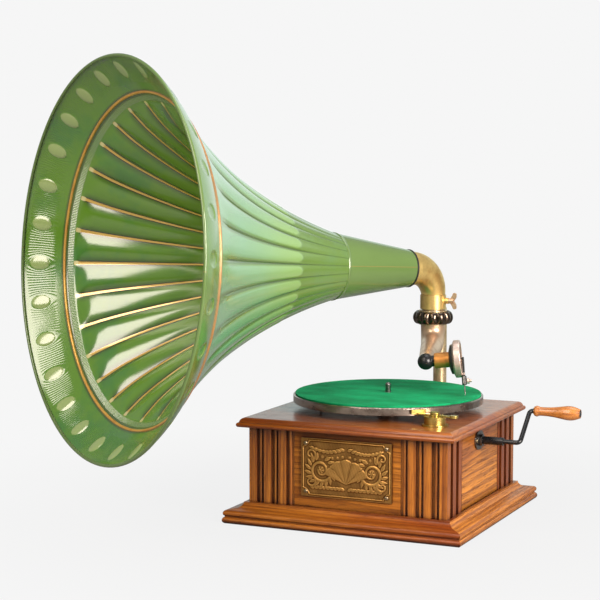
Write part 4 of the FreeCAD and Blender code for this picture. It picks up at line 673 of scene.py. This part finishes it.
def horn_pattern(tree, shader, colour, height):
    """Bosses with a painted highlight, ripples, knurl with a painted sheen, valleys and throat in painted
    shade, and gold lines with painted shadow borders and pale painted ends, over a colour and a height in
    millimetres.
    """
    depth, side, boss = (mark(tree, name) for name in ("depth_mm", "side", "boss"))
    height, knurl_shine = fine_relief(tree, depth, height)
    # Painted highlight: the bosses are painted paler, as the domes catch the light.
    boss_highlight = calc(tree, "MULTIPLY", between(tree, boss, 0.0, 0.35), 0.6)
    colour = mix(tree, boss_highlight, colour, paint(178, 192, 128))
    # Painted sheen: the knurled ribs are painted pale.
    colour = mix(tree, knurl_shine, colour, paint(204, 210, 190))
    past_knurl = between(tree, depth, 53.0, 60.0)
    # Painted shade: darker beside each valley and towards the throat.
    valley_shade = calc(tree, "MULTIPLY", between(tree, side, 0.08, 0.6, 0.65, 0.0), past_knurl)
    deep = between(tree, depth, 110.0, 300.0, 0.0, 0.5)
    colour = mix(tree, calc(tree, "MAXIMUM", valley_shade, deep), colour, paint(38, 54, 4))
    # Painted shadow: dark borders beside each gold line, wider at its end, and a dark band on both sides of
    # the gold ring.
    end = strip(tree, depth, 52.0, 53.5, 55.5, 58.5)
    edge = calc(tree, "DIVIDE", side, calc(tree, "MULTIPLY_ADD", end, 0.05, 0.1))
    border = calc(tree, "MULTIPLY", between(tree, edge, 1.2, 2.0, 0.8, 0.0), past_knurl)
    beside_ring = calc(tree, "ABSOLUTE", calc(tree, "SUBTRACT", depth, ring_depth))
    dark = calc(tree, "MAXIMUM", border, between(tree, beside_ring, 2.4, 4.2, 0.6, 0.0))
    colour = mix(tree, dark, colour, paint(44, 36, 8))
    line = calc(tree, "MULTIPLY", between(tree, edge, 0.75, 1.0, 1.0, 0.0), between(tree, depth, 52.0, 53.0))
    # Painted highlight: each gold line turns pale at its end by the ring.
    colour = mix(tree, line, colour, mix(tree, end, paint(216, 176, 78), paint(226, 216, 150)))
    feed(tree, calc(tree, "MULTIPLY", line, 0.35), shader.inputs["Metallic"])
    return colour, height


print("ripples:", petals * ripples, "knurls:", knurls)

# %% [markdown]
# Both enamels have slow clouds in the green, older blotches and a fine orange-peel, under a clear coat. The
# coat is a little stronger and smoother inside, where it shows the lamp as cream streaks.

# %% Two enamels


def enamel(name, ground, shade, blotch, lined):
    """Glossy enamel with slow cloudy colour and fine orange-peel. The lined kind adds the inside's pattern,
    and the other kind adds the panels outside."""
    blur, strength = (0.16, 1.8) if lined else (0.18, 1.6)
    material, tree, shader = new_finish(name, Coat_Weight=1.0, Coat_Roughness=blur, Coat_IOR=strength)
    place = node(tree, "TexCoord", out=3)
    cloud = noise(tree, place, (7.0, 7.0, 7.0), 3.0)
    mottle = between(tree, noise(tree, place, (13.0, 13.0, 13.0), 4.0, 0.6), 0.45, 0.7)
    colour = mix(tree, calc(tree, "MULTIPLY", mottle, 0.6), mix(tree, cloud, ground, shade), blotch)
    height = calc(tree, "MULTIPLY", noise(tree, place, (260.0, 260.0, 260.0), 2.0), 0.03)
    if lined:
        colour, height = horn_pattern(tree, shader, colour, height)
    else:
        colour = panel_pattern(tree, colour)
    feed(tree, colour, shader.inputs["Base Color"])
    feed(tree, calc(tree, "MULTIPLY_ADD", cloud, 0.1, 0.12), shader.inputs["Roughness"])
    raise_bump(tree, shader, height, MM, coated=True)
    return material


green_outside = enamel("green_enamel_outside", paint(88, 116, 46), paint(100, 130, 60), paint(92, 128, 84),
                       False)
green_inside = enamel("green_enamel_inside", paint(78, 126, 6), paint(98, 142, 16), paint(40, 112, 44), True)
print("enamels:", green_outside.name, green_inside.name)

# %% [markdown]
# ## Band at the mouth
# Twenty-eight oval bosses are pressed inwards into the band, one in line with each gold line. Each is half
# an ellipsoid: its height is the root of one minus the squared distance from its centre, measured in
# half-lengths along the slant and half-widths around. The same formula moves both faces of the sheet, so
# the bosses show as dents outside. Fine ripples run outwards between the bosses and bend round them like
# water round a stone, which is the stream function of a flow past a cylinder.

# %% Bosses and ripples
boss_depth, boss_height, band_slant = 18.5, 2.8, 1.41


def boss_place(depth, angle):
    """Distances from the nearest boss's centre, around and along the slant, in millimetres."""
    around = (angle - first_ridge) * petals / (2 * math.pi)
    around = (around - np.round(around)) * 2 * math.pi * flare(depth) / petals
    return around, (depth - boss_depth) * band_slant


def boss_share(depth, angle, half_long=14.0, half_wide=9.5):
    """Half an ellipsoid of height one on an oval."""
    around, slant = boss_place(depth, angle)
    return np.sqrt(np.clip(1.0 - (slant / half_long) ** 2 - (around / half_wide) ** 2, 0.0, 1.0))


def ripple_bend(depth, angle, stone=11.0):
    """How far a ripple is pushed aside, in ripples times a full turn. It fades out half-way to the next
    boss."""
    around, slant = boss_place(depth, angle)
    pitch = 2 * math.pi * flare(depth) / petals
    far = np.maximum(around**2 + (0.75 * slant) ** 2, stone**2)
    window = np.clip(1.0 - (2 * around / pitch) ** 2, 0.0, 1.0)
    return -around * stone**2 / far * window / pitch * ripples * 2 * math.pi


print("bosses:", petals, "of", boss_height, "mm")

# %% [markdown]
# The band, the petals and the neck are all thin sheet with two faces. One function closes such a sheet: the
# outer face runs from the first depth to the last, and the inner face runs back. It also works out the
# marks that the enamel reads. A panel's mark is 1 on the raised panel and falls softly at its edges.

# %% Closed sheet


def petal_side(angle):
    """Distance from the nearest gold line as a share of half a petal: 0 on it and 1 in mid-petal."""
    around = (angle - first_ridge) * petals / (2 * math.pi)
    return 2 * np.abs(around - np.round(around))


def eased(share):
    """A smooth step from 0 to 1."""
    share = np.clip(share, 0.0, 1.0)
    return share**2 * (3 - 2 * share)


def panel_share(depth, angle, start=45.0, end=232.0, tip=11.0, half_wide=0.74):
    """1 on the raised panel along each petal outside and 0 beside it. Its tip is half an oval past the
    end."""
    reach = np.hypot(np.maximum(depth - end, 0.0) / tip, (1 - petal_side(angle)) / half_wide)
    return eased((1.1 - reach) / 0.25) * eased((depth - start) / 7.0)


def closed_sheet(depths, shares, outside, inside):
    """Outer face from first to last depth, then the inner face back again, at each share of a full turn:
    points, their marks and which face each row belongs to."""
    depth, angle = np.meshgrid(depths, first_ridge + 2 * math.pi * shares[:-1], indexing="ij")
    radius = np.concatenate([outside(depth, angle), inside(depth, angle)[::-1]])
    depth = np.concatenate([depth, depth[::-1]])
    angle = np.concatenate([angle, angle])
    marks = {"depth_mm": depth, "side": petal_side(angle), "boss": boss_share(depth, angle),
             "bend": ripple_bend(depth, angle), "panel": panel_share(depth, angle)}
    return on_horn(depth, radius, angle), marks, np.repeat([0, 1], len(depths))


print("sheet helpers ready")

# %% [markdown]
# The band itself runs from just behind the rim to the gold ring. Each boss is about 19 mm wide, so 44 columns
# from one boss to the next are enough to draw its edge smoothly.

# %% Horn band
band_start, band_rows, columns_per_boss = 2.2, 36, 44


def band_outside(depth, angle):
    """The flare, less the bosses' height."""
    return flare(depth) - boss_height * boss_share(depth, angle)


def band_inside(depth, angle):
    """The outer face, less the sheet."""
    return band_outside(depth, angle) - sheet_step(depth)


shares = np.linspace(0.0, 1.0, petals * columns_per_boss + 1)
depths = np.linspace(band_start, ring_depth, band_rows)
points, marks, which = closed_sheet(depths, shares, band_outside, band_inside)
band = grid_piece("horn_band", points, "horn", [green_outside, green_inside],
                  True, True, marks, which, shares)
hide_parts("horn_bell")

# %% [markdown]
# ## Petals
# Behind the gold ring each petal is domed on both faces. Outside, its crown follows the flare, carries a
# raised panel with a rounded tip, and falls as a square towards a sharp groove. Inside, it swells into the
# horn as a square as well, and leaves a narrow valley along each groove, which carries the gold. Near the
# ring the swelling starts with rounded corners, and it dies away towards the throat.

# %% Petal formulas
petal_start, petal_rise, petal_fade = 44.0, 40.0, 110.0
swell_start, swell_rise = 54.0, 13.0
crown_ratio, groove_ratio, swell_ratio = 0.08, 0.022, 0.13
valley = 0.08
panel_height = 0.5


def petal_fall(depth, angle):
    """How far the outer face lies below its crown: a square to the groove's edge, then a sharp V."""
    pitch = 2 * math.pi * flare(depth) / petals
    side = petal_side(angle)
    fade = 0.35 + 0.65 * eased((bell_depth - depth) / petal_fade)
    strength = eased((depth - petal_start) / petal_rise) * fade
    groove = groove_ratio * np.clip(1 - side / valley, 0.0, 1.0)
    return pitch * strength * (crown_ratio * (1 - side) ** 2 + groove)


def petal_swell(depth, angle):
    """How far the inner face swells into the horn, with rounded corners near the ring."""
    pitch = 2 * math.pi * flare(depth) / petals
    side = np.clip((petal_side(angle) - valley) / (1 - valley), 0.0, 1.0)
    begun = np.clip((depth - swell_start) / swell_rise, 0.0, 1.0)
    fade = eased((bell_depth - depth) / petal_fade)
    return pitch * swell_ratio * fade * (1 - (1 - side) ** 2) * (1 - (1 - begun) ** 2)


def petals_outside(depth, angle):
    """The flare, less the fall to the groove, plus the raised panel."""
    return flare(depth) - petal_fall(depth, angle) + panel_height * panel_share(depth, angle)


def petals_inside(depth, angle):
    """The groove's own radius, less the sheet, less the swelling."""
    line = np.full_like(angle, first_ridge)
    return flare(depth) - petal_fall(depth, line) - sheet_step(depth) - petal_swell(depth, angle)


print("petal swells by", swell_ratio, "of its width")

# %% [markdown]
# Columns are crowded at the grooves, where the shape turns quickly, and rows at the ring and at the panels'
# tips. An even grid would need many times the faces to draw the narrow valley as sharply.

# %% Horn petals
half_petal = np.array([0.0, 0.035, 0.07, 0.085, 0.12, 0.18, 0.26, 0.36, 0.48, 0.6, 0.73, 0.86, 1.0]) / 2
one_petal = np.concatenate([half_petal, 1 - half_petal[-2:0:-1]])
shares = np.append((np.arange(petals)[:, None] + one_petal).ravel(), petals) / petals
near_ring, corner_rows = np.linspace(ring_depth, 53.0, 6), np.linspace(54.0, 74.0, 18)
panel_rows, tip_rows = np.linspace(78.0, 224.0, 19), np.linspace(226.0, 250.0, 13)
depths = np.concatenate([near_ring, corner_rows, panel_rows, tip_rows, np.linspace(257.0, bell_depth, 10)])
points, marks, which = closed_sheet(depths, shares, petals_outside, petals_inside)
bell = grid_piece("horn_petals", points, "horn", [green_outside, green_inside],
                  True, True, marks, which, shares)
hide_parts("horn_bell")

# %% [markdown]
# ## Gold ring
# A rolled bead joins the band to the petals and is gilded on both sides, yellower inside where it is less
# worn. It is a tube: a small circle carried round the horn at one depth, thick enough to show inside and
# outside the sheet.

# %% Gold ring
gold, gold_tree, gold_shader = new_finish("gilding", Metallic=0.4)
gold_place = node(gold_tree, "TexCoord", out=3)
worn = between(gold_tree, noise(gold_tree, gold_place, (60.0, 60.0, 60.0), 4.0), 0.4, 0.7)
outward = between(gold_tree, mark(gold_tree, "outward"), -0.2, 0.4)
gold_tone = mix(gold_tree, outward, paint(220, 172, 84), paint(172, 130, 90))
feed(gold_tree, mix(gold_tree, calc(gold_tree, "MULTIPLY", worn, 0.5), gold_tone, paint(186, 122, 52)),
     gold_shader.inputs["Base Color"])
feed(gold_tree, between(gold_tree, worn, 0.0, 1.0, 0.3, 0.45), gold_shader.inputs["Roughness"])


def full_turn(steps):
    """Angles of a full turn in equal steps, without its end."""
    return np.arange(steps) * 2 * math.pi / steps


def round_tube(depth, radius, thickness, turns, sides):
    """A circle of the given thickness carried round the horn's axis at one depth and radius, and how far
    each point of it faces outwards."""
    angle, spin = np.meshgrid(full_turn(turns), full_turn(sides), indexing="ij")
    return on_horn(depth + thickness * np.cos(spin), radius + thickness * np.sin(spin), angle), np.sin(spin)


ring_thickness, ring_sink = 2.2, 0.7
ring_turns, ring_sides = petals * 12, 14
ring_radius = float(flare(np.array(ring_depth))) - ring_sink
ring_points, ring_outward = round_tube(ring_depth, ring_radius, ring_thickness, ring_turns, ring_sides)
grid_piece("horn_gold_ring", ring_points, "horn", [gold], True, True, {"outward": ring_outward})

# %% [markdown]
# ## Neck and rim
# The neck is a plain cone with a soldered seam along its near side and a low bead where it meets the bell,
# and the rim is a rolled wire. The rim's CAD shape is right and takes enamel. The neck is drawn again,
# because its bead is too soft for a turned solid. The seam is a thin line just above the axis.

# %% Neck and rim finish
seam_height = 0.003


def seamed_enamel(name):
    """Outside enamel with a fine brown seam where a point is just above the horn's axis."""
    material, tree, shader = new_finish(name, Coat_Weight=0.6, Coat_Roughness=0.06)
    place = node(tree, "TexCoord", out=3)
    cloud = noise(tree, place, (7.0, 7.0, 7.0), 3.0)
    offset = node(tree, "VectorMath", place, tuple((mouth * MM).tolist()), operation="SUBTRACT")
    height = node(tree, "VectorMath", offset, tuple(horn_up.tolist()), operation="DOT_PRODUCT", out=1)
    from_seam = calc(tree, "ABSOLUTE", calc(tree, "SUBTRACT", height, seam_height))
    seam = between(tree, from_seam, 0.0002, 0.0007, 1.0, 0.0)
    green = mix(tree, cloud, paint(86, 110, 54), paint(100, 126, 70))
    seamed = mix(tree, calc(tree, "MULTIPLY", seam, 0.45), green, paint(150, 120, 60))
    feed(tree, seamed, shader.inputs["Base Color"])
    feed(tree, calc(tree, "MULTIPLY_ADD", cloud, 0.12, 0.16), shader.inputs["Roughness"])
    raise_bump(tree, shader, seam, 0.00015, 0.0004)
    return material


seamed_green = seamed_enamel("green_enamel_seamed")
dress("horn_rim", seamed_green)
print("rim:", seamed_green.name)

# %% [markdown]
# The neck is the same closed sheet as the band, with a cone for its outer face. The bead is only a few
# millimetres long, so about half of the rows are laid there.

# %% Neck
neck_depth, neck_radius, neck_columns = 464.7, 26.0, 120
bead_height, bead_width = 0.9, 1.8


def neck_outside(depth, angle):
    """A straight cone, plus a bead whose height falls as a bell curve on both sides of its line."""
    share = (depth - bell_depth) / (neck_depth - bell_depth)
    bead = bead_height * np.exp(-(((depth - bell_depth - bead_width) / bead_width) ** 2))
    return throat_radius + (neck_radius - throat_radius) * share + bead


def neck_inside(depth, angle):
    """The outer face, less the sheet."""
    return neck_outside(depth, angle) - sheet_step(depth)


bead_rows = np.linspace(bell_depth, bell_depth + 6.0, 13)
depths = np.concatenate([bead_rows, np.linspace(bell_depth + 10.0, neck_depth, 14)])
shares = np.linspace(0.0, 1.0, neck_columns + 1)
points = closed_sheet(depths, shares, neck_outside, neck_inside)[0]
neck = grid_piece("horn_neck_cone", points, "horn", [seamed_green], True, True)
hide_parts("horn_neck")

# %% [markdown]
# ## Felt mat
# A disc of wool felt is laid on the platter to carry the record. A plain disc would look like plastic, so
# the mat is a closed sheet with a soft edge and a surface that is never quite level, and its colour drifts
# as pressed fibres do.

# %% Felt
felt, felt_tree, felt_shader = new_finish("green_felt", Sheen_Weight=0.1, Sheen_Roughness=0.6,
                                            Specular_IOR_Level=0.15)
felt_shader.inputs["Sheen Tint"].default_value = paint(40, 200, 130)
felt_place = node(felt_tree, "TexCoord", out=3)
fibre = noise(felt_tree, felt_place, (900.0, 900.0, 900.0), 5.0, 0.7)
drift = noise(felt_tree, felt_place, (14.0, 26.0, 14.0), 4.0, 0.6)
felt_tone = mix(felt_tree, between(felt_tree, drift, 0.3, 0.7), paint(2, 112, 66), paint(12, 156, 98))
fuzzy = mix(felt_tree, calc(felt_tree, "MULTIPLY", between(felt_tree, fibre, 0.4, 0.7), 0.4), felt_tone,
            paint(4, 84, 50))
feed(felt_tree, fuzzy, felt_shader.inputs["Base Color"])
feed(felt_tree, calc(felt_tree, "MULTIPLY_ADD", fibre, 0.1, 0.85), felt_shader.inputs["Roughness"])
raise_bump(felt_tree, felt_shader, fibre, 0.0003)


def felt_sheet(centre, radii, low, high, turns, steps=40):
    """A flat ring: radius steps out along the top and back along the bottom, with gentle waves on the top."""
    outward = np.linspace(radii[0], radii[1], steps)
    soft = np.array([radii[1] + 0.25, radii[1] + 0.25])
    radius = np.concatenate([outward, soft, outward[::-1]])
    height = np.concatenate([np.full(steps, high), [high - 0.6, low + 0.4], np.full(steps, low)])
    top = np.arange(len(radius)) < steps - 1
    r, a = np.meshgrid(radius, full_turn(turns), indexing="ij")
    wave = 0.08 * np.sin(r / 9.0 + 3 * a) + 0.06 * np.sin(r / 5.0 - 5 * a)
    z = height[:, None] + (wave - 0.14) * top[:, None]
    return np.stack([centre[0] + r * np.cos(a), centre[1] + r * np.sin(a), z], axis=-1)


mat_low, mat_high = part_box("felt_mat")
mat_radius = (mat_high.x - mat_low.x) / 2 / MM
mat_hole, mat_turns = 4.6, 180
mat_centre = ((mat_low.x + mat_high.x) / 2 / MM, (mat_low.y + mat_high.y) / 2 / MM)
points = felt_sheet(mat_centre, (mat_hole, mat_radius - 0.3), mat_low.z / MM, mat_high.z / MM, mat_turns)
mat = grid_piece("felt_disc", points, "turntable", [felt], True, True)
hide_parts("felt_mat")

# %% [markdown]
# ## Brass plaque
# A stamped plaque is screwed to the front panel. Its relief here is a common one of leaf scrolls about a
# scallop shell, inside a thin raised border that steps in at the corners to leave room for the screws.
# Relief is a height over a flat grid: each form is a formula, and the highest one wins at every point.

# %% Plaque outline and border
plaque_low, plaque_high = (np.array(c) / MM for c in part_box("plaque"))
plaque_centre = (plaque_low + plaque_high) / 2
plaque_half = (plaque_high - plaque_low)[[0, 2]] / 2
relief_room, relief_top = 1.2, 1.15
plate_columns, plate_rows = 290, 168
edge_inset, corner_cut = 1.6, 10.5
plate_face = plaque_low[1] + relief_room
plate_back = plaque_high[1]
across = np.linspace(-plaque_half[0], plaque_half[0], plate_columns)
upward = np.linspace(-plaque_half[1], plaque_half[1], plate_rows)
plate_z, plate_x = np.meshgrid(upward, across, indexing="ij")
edge = np.minimum(plaque_half[0] - np.abs(plate_x), plaque_half[1] - np.abs(plate_z))
corner = np.hypot(plaque_half[0] - np.abs(plate_x), plaque_half[1] - np.abs(plate_z))
inside = np.minimum(edge - edge_inset, corner - corner_cut)
border = np.exp(-(((inside - 1.0) / 0.75) ** 2))
relief = np.maximum(border, 0.25 * np.clip(-inside, 0.0, 1.0))
print("plaque:", np.round(2 * plaque_half, 1), "mm")

# %% [markdown]
# Four kinds of form make up the design. Each is a function of the place on the plate and gives a height of
# up to about one millimetre.

# %% Shell, scroll, leaf and rosette


def shell(x, z, base=-19.0, size=33.0, ribs=9):
    """A fan about its base: ribs are a cosine of the angle, and the edge is scalloped by the same ribs."""
    radius = np.hypot(x, z - base) + 1e-6
    angle = np.arctan2(x, z - base)
    wave = np.abs(np.cos(angle * ribs / 1.5))
    edge_radius = size - 2.0 + 2.0 * wave
    fan = np.clip((edge_radius - radius) / 1.5, 0.0, 1.0) * np.clip((1.25 - np.abs(angle)) / 0.08, 0.0, 1.0)
    return fan * (0.45 + 0.6 * wave * (radius / size) ** 0.4)


def scroll(x, z, centre, size, start, turns, width):
    """A ridge along a spiral whose radius shrinks to nothing: height falls with distance from its line."""
    step = np.linspace(0.0, 1.0, 90)
    angle = start + turns * 2 * math.pi * step
    radius = size * (1.0 - step) ** 0.8
    line_x = centre[0] + radius * np.cos(angle)
    line_z = centre[1] + radius * np.sin(angle)
    away = np.hypot(x[..., None] - line_x, z[..., None] - line_z) / (width * (1.0 - 0.55 * step))
    return np.clip(1.0 - np.min(away, axis=-1) ** 2, 0.0, 1.0) ** 0.5


def leaf(x, z, root, way, length, width):
    """A pointed oval from its root: width follows a sine along it, with a groove for the midrib."""
    along = ((x - root[0]) * math.cos(way) + (z - root[1]) * math.sin(way)) / length
    side = (z - root[1]) * math.cos(way) - (x - root[0]) * math.sin(way)
    along = np.clip(along, 0.0, 1.0)
    half = width * np.sin(math.pi * along**0.75) + 1e-6
    dome = np.clip(1.0 - (side / half) ** 2, 0.0, 1.0) ** 0.6
    vein = 0.3 * np.exp(-((side / 0.35) ** 2))
    return np.clip(dome - vein, 0.0, 1.0)


def rosette(x, z, centre, size, lobes):
    """A dome cut into lobes by a cosine of the angle about its centre."""
    radius = np.hypot(x - centre[0], z - centre[1]) / size
    angle = np.arctan2(z - centre[1], x - centre[0])
    return np.clip(1.0 - radius**2, 0.0, 1.0) ** 0.7 * (0.72 + 0.28 * np.cos(lobes * angle))


print("forms ready")

# %% [markdown]
# The design is the same to the left and the right, so all forms but the shell are laid by the distance from
# the middle. Leaves stand round each large scroll. A row of leaves and one of small rosettes hang above as
# festoons, and a straight row of leaves runs below. The ground between them keeps faint hammer marks.

# %% Lay the design
half_x = np.abs(plate_x)
scroll_centre, scroll_size, festoon = (35.0, -3.0), 15.0, 46.0
scrolls = [(0.9, scroll_centre, scroll_size, 215, 1.6, 2.4), (0.8, (49.0, 17.0), 7.5, 250, -1.3, 1.8),
           (0.8, (49.0, -18.0), 7.5, 120, 1.3, 1.8)]
forms = [shell(plate_x, plate_z), 0.95 * rosette(half_x, plate_z, scroll_centre, 6.0, 6)]
for height, centre, size, start, turns, width in scrolls:
    forms.append(height * scroll(half_x, plate_z, centre, size, math.radians(start), turns, width))
for way in math.pi * (0.62 + np.arange(16) * 0.115):
    root = scroll_centre + (scroll_size - 1.0) * np.array([math.cos(way), math.sin(way)])
    forms.append(0.85 * leaf(half_x, plate_z, root, way + 0.7, 11.0, 2.7))
for place in np.linspace(2.0, 44.0, 9):
    sag = 25.0 - 5.0 * math.sin(math.pi * place / festoon)
    forms.append(0.8 * leaf(half_x, plate_z, (place, sag), math.radians(20), 8.0, 2.4))
    forms.append(0.75 * leaf(half_x, plate_z, (place, -27.0), math.radians(28), 8.0, 2.4))
for place in np.linspace(5.0, 40.0, 6):
    sag = 17.5 - 4.0 * math.sin(math.pi * place / festoon)
    forms.append(0.7 * rosette(half_x, plate_z, (place, sag), 2.2, 5))
ornament = np.max(forms, axis=0) * np.clip(inside - 2.6, 0.0, 1.0)
hammer = 0.12 * np.sin(2.1 * plate_x + 1.3 * plate_z) * np.sin(1.9 * plate_z - 0.8 * plate_x)
relief = np.clip(np.maximum(relief, ornament) + hammer * (inside > 0), 0.0, relief_top)
shifts = range(-3, 4)
# Rubbing, patina and painted shade: the relief minus its average nearby is dark in hollows beside the forms
# and bright where they stand out.
around_it = np.mean([np.roll(relief, (i, j), axis=(0, 1)) for i in shifts for j in shifts], axis=0)
wear_and_shade = np.clip(0.5 + 1.1 * (relief - around_it) + 0.25 * relief, 0.0, 1.0)
print("relief: forms", len(forms), "highest", round(float(relief.max()), 2), "mm")

# %% [markdown]
# The plaque's finish is old brass: what stands out from its surroundings is rubbed bright, and hollows beside
# the forms stay brown, as patina and as painted shade that gives the low relief its depth. That is the relief
# minus its own average nearby, and it goes with the mesh as an attribute. The plate's edge is one more row of
# the same grid all round. Its back lies on the panel and is left open.

# %% Plaque piece
old_brass, brass_tree, brass_shader = new_finish("rubbed_brass", Metallic=0.85)
wear_and_shade_mark = mark(brass_tree, "wear_and_shade")
brass_place = node(brass_tree, "TexCoord", out=3)
stain = noise(brass_tree, brass_place, (60.0, 60.0, 60.0), 5.0, 0.6)
# Bright where rubbed, and brown with patina and painted shade in the hollows.
level_up = calc(brass_tree, "MULTIPLY_ADD", stain, 0.4, calc(brass_tree, "SUBTRACT", wear_and_shade_mark, 0.2))
low_tone = mix(brass_tree, stain, paint(66, 36, 12), paint(100, 60, 22))
brass_tone = mix(brass_tree, between(brass_tree, level_up, 0.2, 0.95), low_tone, paint(204, 152, 82))
feed(brass_tree, brass_tone, brass_shader.inputs["Base Color"])
feed(brass_tree, between(brass_tree, level_up, 0.0, 1.0, 0.5, 0.3), brass_shader.inputs["Roughness"])
raise_bump(brass_tree, brass_shader, noise(brass_tree, brass_place, (1400.0, 1400.0, 1400.0)), 0.00003)


def plate_sheet():
    """The relief face, then one more row and column all round that drops to the plate's back."""
    face = np.stack([plaque_centre[0] + plate_x, plate_face - relief, plaque_centre[2] + plate_z], axis=-1)
    rim = np.pad(face, ((1, 1), (1, 1), (0, 0)), mode="edge")
    rim[[0, -1], :, 1] = plate_back
    rim[:, [0, -1], 1] = plate_back
    return rim, np.pad(wear_and_shade, 1)


plate_points, plate_wear_and_shade = plate_sheet()
plate = grid_piece("plaque_relief", plate_points, "case", [old_brass],
                   marks={"wear_and_shade": plate_wear_and_shade})
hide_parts("plaque")

# %% [markdown]
# ## Beaded collar
# The bracket's head carries a cast collar of rounded lobes. A lobe is half a sine from one groove to the
# next, taller at mid-height than at its edges. The collar is one tube round the head: outer face up and
# inner face down.

# %% Collar
collar_lobes, steps_per_lobe, collar_rows = 13, 18, 14
collar_low, collar_high = 238.5, 255.5
collar_inner, collar_outer, lobe_swell = 23.0, 24.1, 4.2
head_centre = (10.0, 155.0)


def collar_points(turns, steps):
    """Radius is the outer one plus swell times a lobe around and a bulge upwards, closed by an inner wall."""
    angle = full_turn(turns)
    rise = np.linspace(0.0, 1.0, steps)
    lobe = np.abs(np.sin(collar_lobes * angle / 2)) ** 0.7
    bulge = np.sin(math.pi * rise) ** 0.6
    face = collar_outer + lobe_swell * bulge[:, None] * (0.25 + 0.75 * lobe)
    radius = np.concatenate([face, np.full((steps, turns), collar_inner)])
    height = collar_low + (collar_high - collar_low) * np.concatenate([rise, rise[::-1]])
    x = head_centre[0] + radius * np.cos(angle)
    y = head_centre[1] + radius * np.sin(angle)
    return np.stack([x, y, np.broadcast_to(height[:, None], x.shape)], axis=-1)


points = collar_points(collar_lobes * steps_per_lobe, collar_rows)
grid_piece("head_collar", points, "case", [collar_iron], True, True)

# %% [markdown]
# ## Crank grip
# The grip is turned from one piece of wood: a bead at the crank's end, a waist, and a belly that swells
# towards the hand's heel. A lathe makes such a shape, so the piece is a profile carried round its pin. The
# profile goes out along the grip and back through the bore and the recess for the pin's riveted head.

# %% Grip
grip_low, grip_high = (np.array(c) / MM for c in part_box("crank_grip"))
grip_middle = (grip_low + grip_high) / 2
grip_length = grip_high[0] - grip_low[0]
pin_bore, head_recess, recess_depth = 3.4, 5.5, 3.3
waist, belly, bead = 5.8, 3.6, 1.4


def grip_profile(steps):
    """Distance along the grip, and radius: the waist, plus a bell curve for the bead, plus a lopsided half
    sine for the belly."""
    share = np.linspace(0.0, 1.0, steps)
    swelling = np.sin(math.pi * np.clip((share - 0.16) / 0.84, 0.0, 1.0) ** 2.1) ** 1.1
    radius = waist + belly * swelling + bead * np.exp(-(((share - 0.05) / 0.04) ** 2))
    floor_of_recess = grip_length - recess_depth
    along = np.append(share * grip_length, [grip_length, floor_of_recess, floor_of_recess, 0.0])
    return along, np.append(radius, [head_recess, head_recess, pin_bore, pin_bore])


grip_steps, grip_turns = 60, 48
along, radius = (column[:, None] for column in grip_profile(grip_steps))
spin = full_turn(grip_turns)
points = np.stack([np.broadcast_to(grip_low[0] + along, (len(along), grip_turns)),
                   grip_middle[1] + radius * np.cos(spin), grip_middle[2] + radius * np.sin(spin)], axis=-1)
grip = grid_piece("turned_grip", points, "grip", [grip_wood], True, True)
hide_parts("crank_grip")
